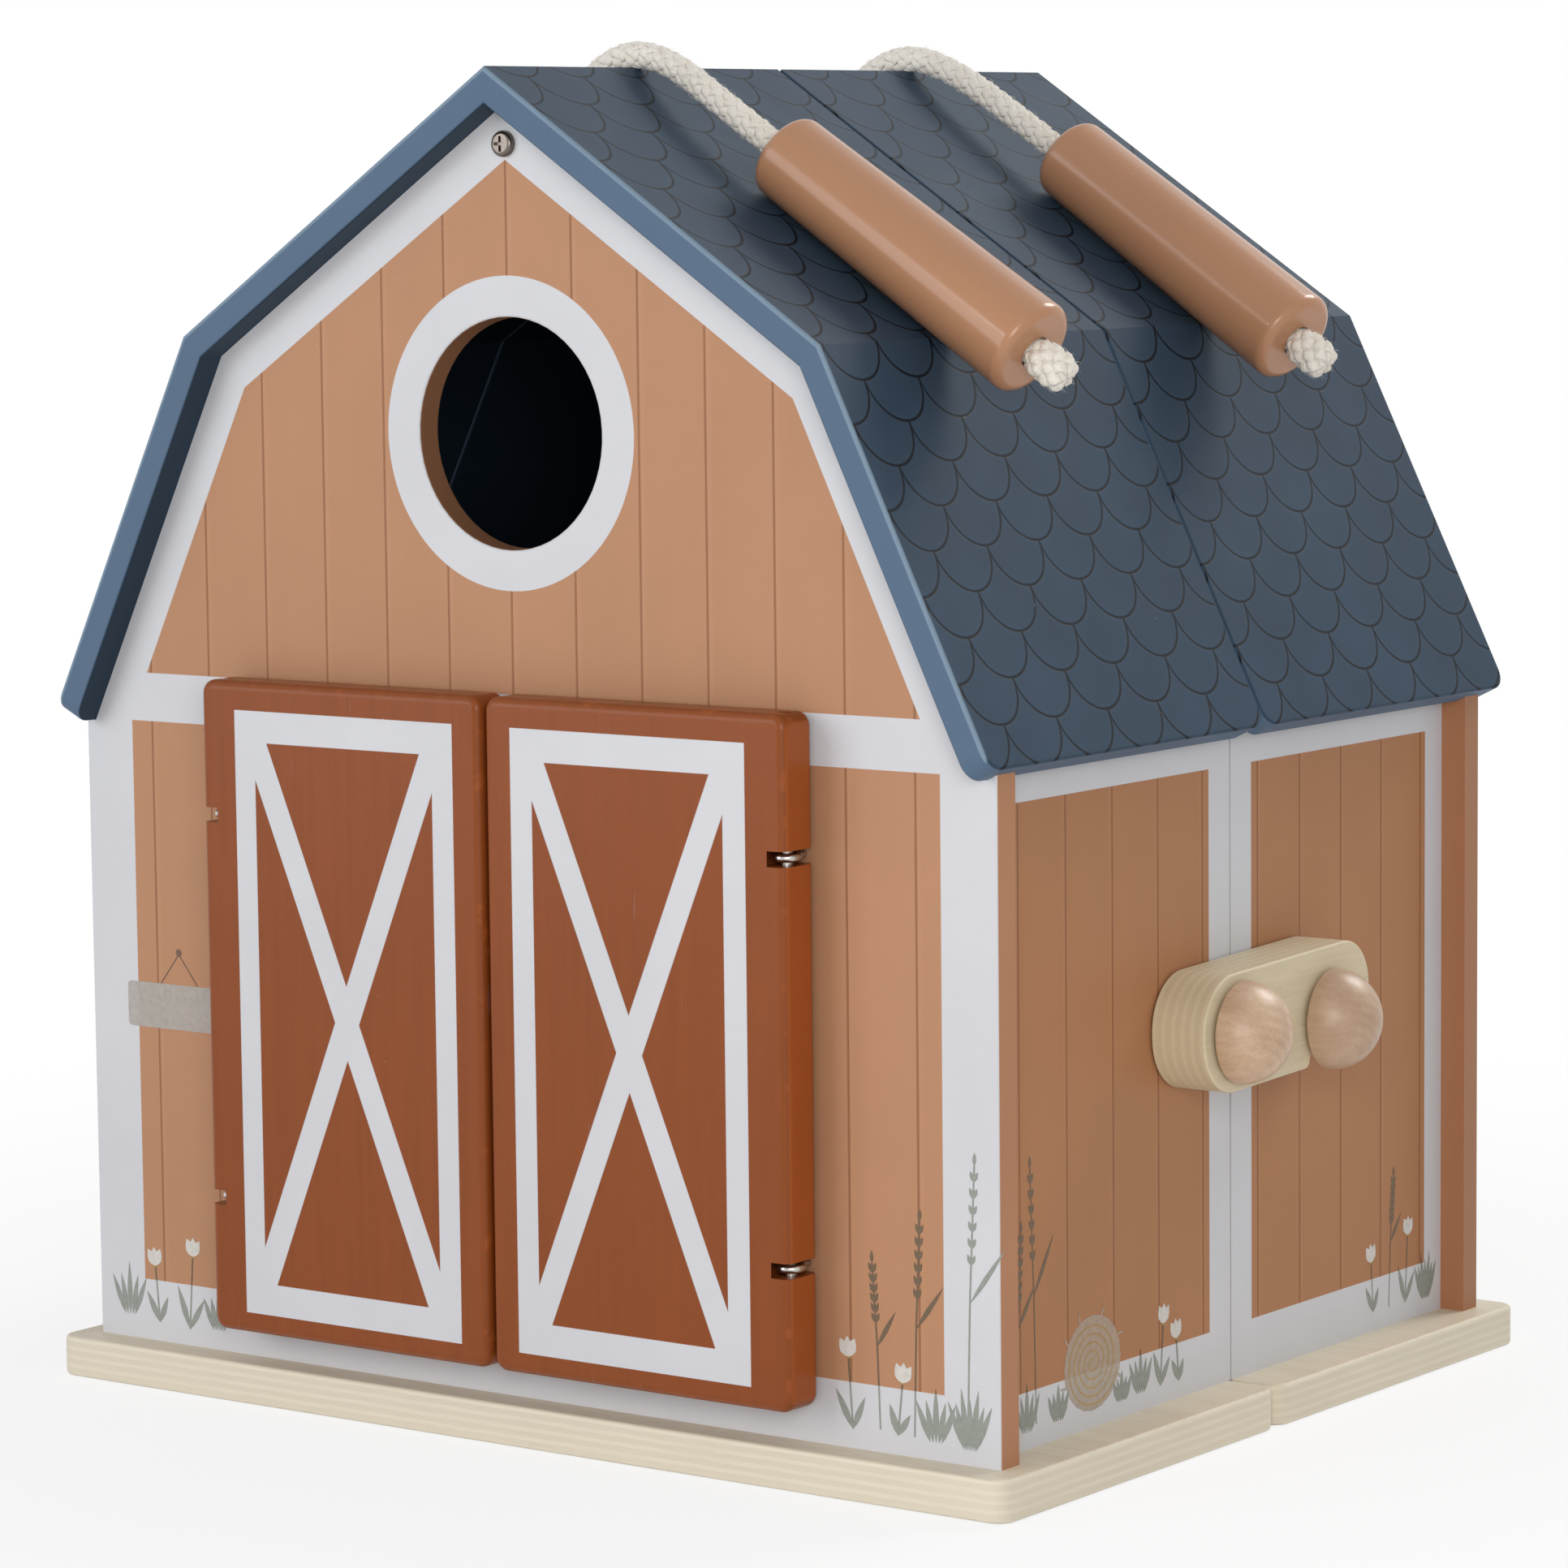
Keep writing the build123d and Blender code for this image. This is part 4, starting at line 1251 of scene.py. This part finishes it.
@dataclass
class Motifs:
    """Small printed plants on one wall, as thin closed layers of ink.

    A place on the wall is a complex number of millimetres: across the wall, and up as its
    imaginary part.
    """

    wall: Wall
    body: str
    name: str
    lift: float = 0.06
    under: float = 0.02
    layer: float = 0.0004
    shapes: int = 0
    points: list[Vector] = field(default_factory=list)
    faces: list[Face] = field(default_factory=list)
    inks: list[Dye] = field(default_factory=list)

    def _at(self, place: complex, off: float) -> Vector:
        """The point over a place of the wall.

        Args:
            place: The place.
            off: How far the point is off the wall, in millimetres.

        Returns:
            The point, in metres.
        """
        if self.wall is Wall.FRONT:
            return Vector((place.real, self.wall.value - off, place.imag)) * MM
        return Vector((self.wall.value + off, place.real, place.imag)) * MM

    def shape(self, outline: Sequence[complex], ink: Dye) -> None:
        """Adds one flat shape, a little higher than the last.

        Args:
            outline: Its corners, anticlockwise from outside.
            ink: Its ink.
        """
        start, count = len(self.points), len(outline)
        for off in (self.lift + self.shapes * self.layer, self.under):
            self.points += [self._at(place, off) for place in outline]
        self.faces.append(tuple(range(start, start + count)))
        self.faces.append(tuple(reversed(range(start + count, start + 2 * count))))
        for k in range(count):
            a, b = start + k, start + (k + 1) % count
            self.faces.append((a, a + count, b + count, b))
        self.inks += [ink] * (count + 2)
        self.shapes += 1

    def leaf(self, foot: complex, length: float, width: float, lean: float, ink: Dye = Dye.SAGE) -> None:
        """Adds a pointed leaf.

        Args:
            foot: Where it springs from.
            length: Its length.
            width: Its width.
            lean: Its angle from upright in degrees, to the right.
            ink: Its ink.
        """
        way = cmath.rect(1.0, math.radians(90 - lean))
        profile = [(0.0, 0.0), (0.18, 0.32), (0.42, 0.5), (0.68, 0.38), (0.88, 0.16), (1.0, 0.0)]
        right = [complex(t * length, -w * width) for t, w in profile]
        left = [place.conjugate() for place in reversed(right[1:-1])]
        self.shape([foot + way * place for place in right + left], ink)

    def stem(self, path: Sequence[complex], width: float, ink: Dye = Dye.SAGE) -> None:
        """Adds a thin stem.

        Args:
            path: The places that it passes.
            width: Its width.
            ink: Its ink.
        """
        for a, b in zip(path, path[1:]):
            across = 1j * (b - a) / abs(b - a) * width / 2
            self.shape([a - across, b - across, b + across, a + across], ink)

    def oval(self, middle: complex, width: float, height: float, ink: Dye) -> None:
        """Adds an oval.

        Args:
            middle: Its middle.
            width: Its width.
            height: Its height.
            ink: Its ink.
        """
        turns = [2 * math.pi * k / 20 for k in range(20)]
        rim = [complex(width / 2 * math.cos(t), height / 2 * math.sin(t)) for t in turns]
        self.shape([middle + place for place in rim], ink)

    def rounded(self, low: complex, high: complex, corner: float, ink: Dye) -> None:
        """Adds a rectangle with round corners.

        Args:
            low: Its lower left corner.
            high: Its upper right corner.
            corner: The radius of its corners.
            ink: Its ink.
        """
        reach, outline = (high - low) / 2 - complex(corner, corner), []
        for quarter, (right, up) in enumerate(((1, -1), (1, 1), (-1, 1), (-1, -1))):
            hub = (low + high) / 2 + complex(right * reach.real, up * reach.imag)
            turns = [math.radians(90 * quarter - 90 + 22.5 * k) for k in range(5)]
            outline += [hub + cmath.rect(corner, turn) for turn in turns]
        self.shape(outline, ink)

    @staticmethod
    def _tip(foot: complex, height: float, lean: float) -> complex:
        """The top of a plant that leans by an angle in degrees."""
        return foot + height * complex(math.tan(math.radians(lean)), 1.0)

    def barley(self, foot: complex, height: float, lean: float) -> None:
        """Adds a stalk with a full ear at its top.

        Args:
            foot: Where it stands.
            height: How high its tip is.
            lean: Its angle from upright in degrees.
        """
        tip = self._tip(foot, height, lean)
        middle = complex(foot.real + 0.35 * (tip - foot).real, foot.imag + 0.5 * height)
        self.stem([foot, middle, tip], 0.45)
        self.leaf(middle, 0.26 * height, 1.3, lean + 34)
        way = (tip - middle) / abs(tip - middle)
        for k in range(6):
            for hand in (-1, 1):
                self.leaf(tip - way * 0.36 * height * (1 - k / 6), 2.7, 1.15, lean + hand * 24)
        self.leaf(tip, 3.0, 1.1, lean)

    def tulip(self, foot: complex, height: float, lean: float) -> None:
        """Adds a closed flower with two long leaves.

        Args:
            foot: Where it stands.
            height: How high its stem is.
            lean: Its angle from upright in degrees.
        """
        tip = self._tip(foot, height, lean)
        self.stem([foot, tip], 0.5)
        self.leaf(foot, 0.62 * height, 2.0, lean - 24)
        self.leaf(foot, 0.52 * height, 1.8, lean + 28)
        self.oval(tip + 0.8j, 2.4, 1.8, Dye.OCHRE)
        for turn in (-26, 26, 0):
            self.leaf(tip + 0.3j, 5.0, 2.9, lean + turn, Dye.CREAM)

    def turf(self, foot: complex, height: float, blades: int) -> None:
        """Adds a clump of grass.

        Args:
            foot: Where it stands.
            height: How high its middle is.
            blades: How many blades it has.
        """
        for k in range(blades):
            share = k / (blades - 1) - 0.5
            tall = height * (1.0 - 0.8 * share * share) * (0.82 if k % 2 else 1.0)
            self.leaf(foot + 3.2 * share, tall, 1.7, 46 * share)

    def bale(self, middle: complex, size: float) -> None:
        """Adds a round bale of straw, seen from its end.

        Args:
            middle: Its middle.
            size: Its width.
        """
        self.oval(middle, size, 0.94 * size, Dye.STRAW)
        spiral = []
        for k in range(100):
            reach, turn = (0.04 + 0.0088 * k) * size / 2, math.radians(18 * k)
            spiral.append(middle + complex(reach * math.cos(turn), 0.94 * reach * math.sin(turn)))
        self.stem(spiral, 0.4, Dye.OCHRE)
        for turn in (28, 74, 118, 151, 203, 338):
            way = math.radians(turn)
            foot = middle + size * complex(0.47 * math.cos(way), 0.44 * math.sin(way))
            self.leaf(foot, 3.6, 0.7, 90 - turn + 24, Dye.STRAW)

    def build(self, inks: Sequence[Material]) -> None:
        """Makes the mesh and sets it on its body.

        Args:
            inks: The materials of the inks, in their order.
        """
        made = piece(self.name, self.points, self.faces, *inks, smooth=False)
        order = list(Dye)
        for face, ink in zip(made.data.polygons, self.inks):
            face.material_index = order.index(ink)
        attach(made, self.body)
        log.info("printed %s: %d shapes", self.name, self.shapes)


@dataclass
class Prints:
    """The small plants, the bale and the bare sign board printed on the walls."""

    nail: complex = -112.6 + 113.2j
    low: complex = -130.6 + 93.4j
    high: complex = -94.6 + 105.2j

    def build(self) -> None:
        """Builds the printed pieces."""
        front = Motifs(Wall.FRONT, "front_half", "print_front")
        for end in (-119.3 + 104.8j, -105.9 + 104.8j):
            front.stem([end, self.nail], 0.35, Dye.TAUPE)
        front.oval(self.nail + 0.4j, 2.0, 2.0, Dye.TAUPE)
        front.rounded(self.low, self.high, 1.2, Dye.BOARD)
        front.turf(-132.5 + 16.5j, 14.0, 5)
        front.tulip(-122.0 + 15.5j, 14.5, -5)
        front.tulip(-111.5 + 14.8j, 19.0, 4)
        front.turf(-101.5 + 15.5j, 11.0, 5)
        front.tulip(100.5 + 15.2j, 17.0, -4)
        front.barley(108.5 + 16.0j, 40.0, -3)
        front.tulip(113.6 + 15.2j, 12.5, 6)
        front.barley(118.4 + 15.4j, 52.0, 2)
        front.turf(124.5 + 14.8j, 13.0, 5)
        front.barley(133.6 + 16.2j, 66.0, 2)
        front.turf(134.2 + 14.2j, 15.0, 7)
        near = Motifs(Wall.RIGHT, "front_half", "print_right_front")
        near.barley(-96.5 + 17.0j, 46.0, 3)
        near.barley(-88.0 + 16.0j, 62.0, -2)
        near.turf(-92.0 + 14.5j, 12.0, 5)
        near.bale(-63.5 + 26.4j, 25.0)
        near.turf(-78.5 + 14.9j, 9.0, 5)
        near.turf(-50.5 + 14.6j, 7.5, 5)
        near.turf(-42.0 + 15.0j, 11.0, 5)
        near.tulip(-33.0 + 15.2j, 15.0, 5)
        near.tulip(-24.5 + 15.0j, 10.5, -6)
        far = Motifs(Wall.RIGHT, "rear_half", "print_right_rear")
        far.tulip(70.5 + 15.6j, 13.0, -5)
        far.barley(78.5 + 15.6j, 34.0, 4)
        far.tulip(87.0 + 15.4j, 17.5, 4)
        far.turf(97.5 + 14.6j, 13.0, 7)
        inks = [dye.value.material() for dye in Dye]
        for motifs in (front, near, far):
            motifs.build(inks)


# ---- stage


@dataclass
class Stage:
    """The floor, the lamps, the surroundings and the camera."""

    target: Point = (-1.0 * MM, 0.0, 153.1 * MM)
    azimuth: float = 36.25
    elevation: float = 6.32
    distance: float = 1.469
    roll: float = -0.61
    lens: float = 128.55
    sensor: float = 36.0
    sight: float = 50.0
    ambient: float = 0.38
    floor_half: float = 6.0
    floor_height: float = -0.2 * MM

    def build(self) -> None:
        """Sets up the camera, floor, lamps and world."""
        self._camera()
        self._floor()
        self._lamp("key", (-1.25, -2.05, 0.65), 1.5, 20.5, (0.97, 0.985, 1.0))
        self._lamp("glint", (-0.68, -2.16, 1.18), 0.08, 1.2, (1.0, 0.99, 0.97))
        self._lamp("top", (0.45, 1.35, 1.45), 0.7, 16.0, (1.0, 0.985, 0.96))
        self._lamp("right", (0.85, -1.0, 0.42), 0.5, 5.4, (1.0, 0.965, 0.92))
        self._world()
        bpy.context.scene.view_settings.view_transform = "Standard"

    def _camera(self) -> None:
        """Adds the camera."""
        data = bpy.data.cameras.new("camera")
        data.lens = self.lens
        data.sensor_width = self.sensor
        data.clip_end = self.sight
        camera = bpy.data.objects.new("camera", data)
        place = Matrix.Translation(self.target)
        for degrees, axis in ((self.azimuth, "Z"), (90.0 - self.elevation, "X"), (self.roll, "Z")):
            place @= Matrix.Rotation(math.radians(degrees), 4, axis)
        camera.matrix_world = place @ Matrix.Translation((0.0, 0.0, self.distance))
        bpy.context.scene.collection.objects.link(camera)
        bpy.context.scene.camera = camera

    def _lamp(self, name: str, place: Point, size: float, power: float, colour: Point) -> None:
        """Adds a soft square lamp that faces the barn.

        Args:
            name: The lamp's name.
            place: Where it stands, in metres.
            size: The length of its side.
            power: Its power in watts.
            colour: Its colour.
        """
        data = bpy.data.lights.new(name, "AREA")
        data.shape = "SQUARE"
        data.size = size
        data.energy = power
        data.color = colour
        lamp = bpy.data.objects.new(name, data)
        way = Vector(self.target) - Vector(place)
        lamp.matrix_world = Matrix.Translation(place) @ way.to_track_quat("-Z", "Y").to_matrix().to_4x4()
        bpy.context.scene.collection.objects.link(lamp)

    def _floor(self) -> None:
        """Adds a pale floor that fades into the white surroundings."""
        mixer = Mixer("floor_paper")
        x, y, _ = mixer.axes()
        far = (x * x + y * y).root().past(380.0, 230.0)
        mixer.finish(
            Base_Color=mixer.blend(mixer.noise(120.0, 3.0), (0.86, 0.86, 0.865, 1.0), (0.9, 0.9, 0.9, 1.0)),
            Roughness=0.8,
            Normal=mixer.bump(mixer.noise(1.2, 3.0), 0.05),
        )
        glow = mixer.wire("ShaderNodeEmission", {"Color": FULL_WHITE, "Strength": 1.0})
        share = (far * 0.2 + 0.8) * mixer.seen()
        both = mixer.wire("ShaderNodeMixShader", {0: share, 1: mixer.matte, 2: glow})
        mixer.feed(mixer.output.inputs["Surface"], both)
        signs = ((-1, -1), (1, -1), (1, 1), (-1, 1))
        corners = [Vector((x * self.floor_half, y * self.floor_half, self.floor_height)) for x, y in signs]
        piece("floor", corners, [(0, 1, 2, 3)], mixer.material, smooth=False)

    def _world(self) -> None:
        """Surrounds the barn with even light that looks white."""
        world = bpy.data.worlds.new("surroundings")
        world.use_nodes = True
        bpy.context.scene.world = world
        graph = Graph(world.node_tree)
        even_light = {"Color": (0.98, 0.99, 1.0, 1.0), "Strength": self.ambient}
        soft = graph.wire("ShaderNodeBackground", even_light)
        white = graph.wire("ShaderNodeBackground", {"Color": FULL_WHITE, "Strength": 1.0})
        both = graph.wire("ShaderNodeMixShader", {0: graph.seen(), 1: soft, 2: white})
        graph.make("ShaderNodeOutputWorld", {"Surface": both})


FRONT_HANDLE = Handle(
    half="front",
    route=(
        (-0.03054, -0.0495, 0.29835), (-0.03190, -0.0520, 0.32567), (-0.01026, -0.0580, 0.34209),
        (0.00904, -0.0615, 0.34238), (0.03989, -0.07001, 0.32557), (0.12687, -0.07201, 0.26979),
    ),
    length=0.2133,
    bend=((-0.004, -0.0595, 0.3425), (0.0475, -0.0702, 0.3207)),
)

REAR_HANDLE = Handle(
    half="rear",
    route=(
        (-0.03095, 0.0665, 0.29807), (-0.03232, 0.0650, 0.32539), (-0.01043, 0.0603, 0.34198),
        (0.00887, 0.0576, 0.34249), (0.04168, 0.05362, 0.32438), (0.12839, 0.04520, 0.26878),
    ),
    length=0.2148,
    bend=((-0.004, 0.0590, 0.3425), (0.0475, 0.0530, 0.3207)),
)


def main() -> None:
    """Builds and dresses the barn."""
    logging.basicConfig(level=logging.INFO, format="%(name)s: %(message)s")
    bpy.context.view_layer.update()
    Stage().build()
    shop = Workshop()
    for part in (FRONT_HANDLE, REAR_HANDLE, Shell(), Doors(), Latch(), Hardware()):
        part.build(shop)
    Prints().build()


if __name__ == "__main__":
    main()
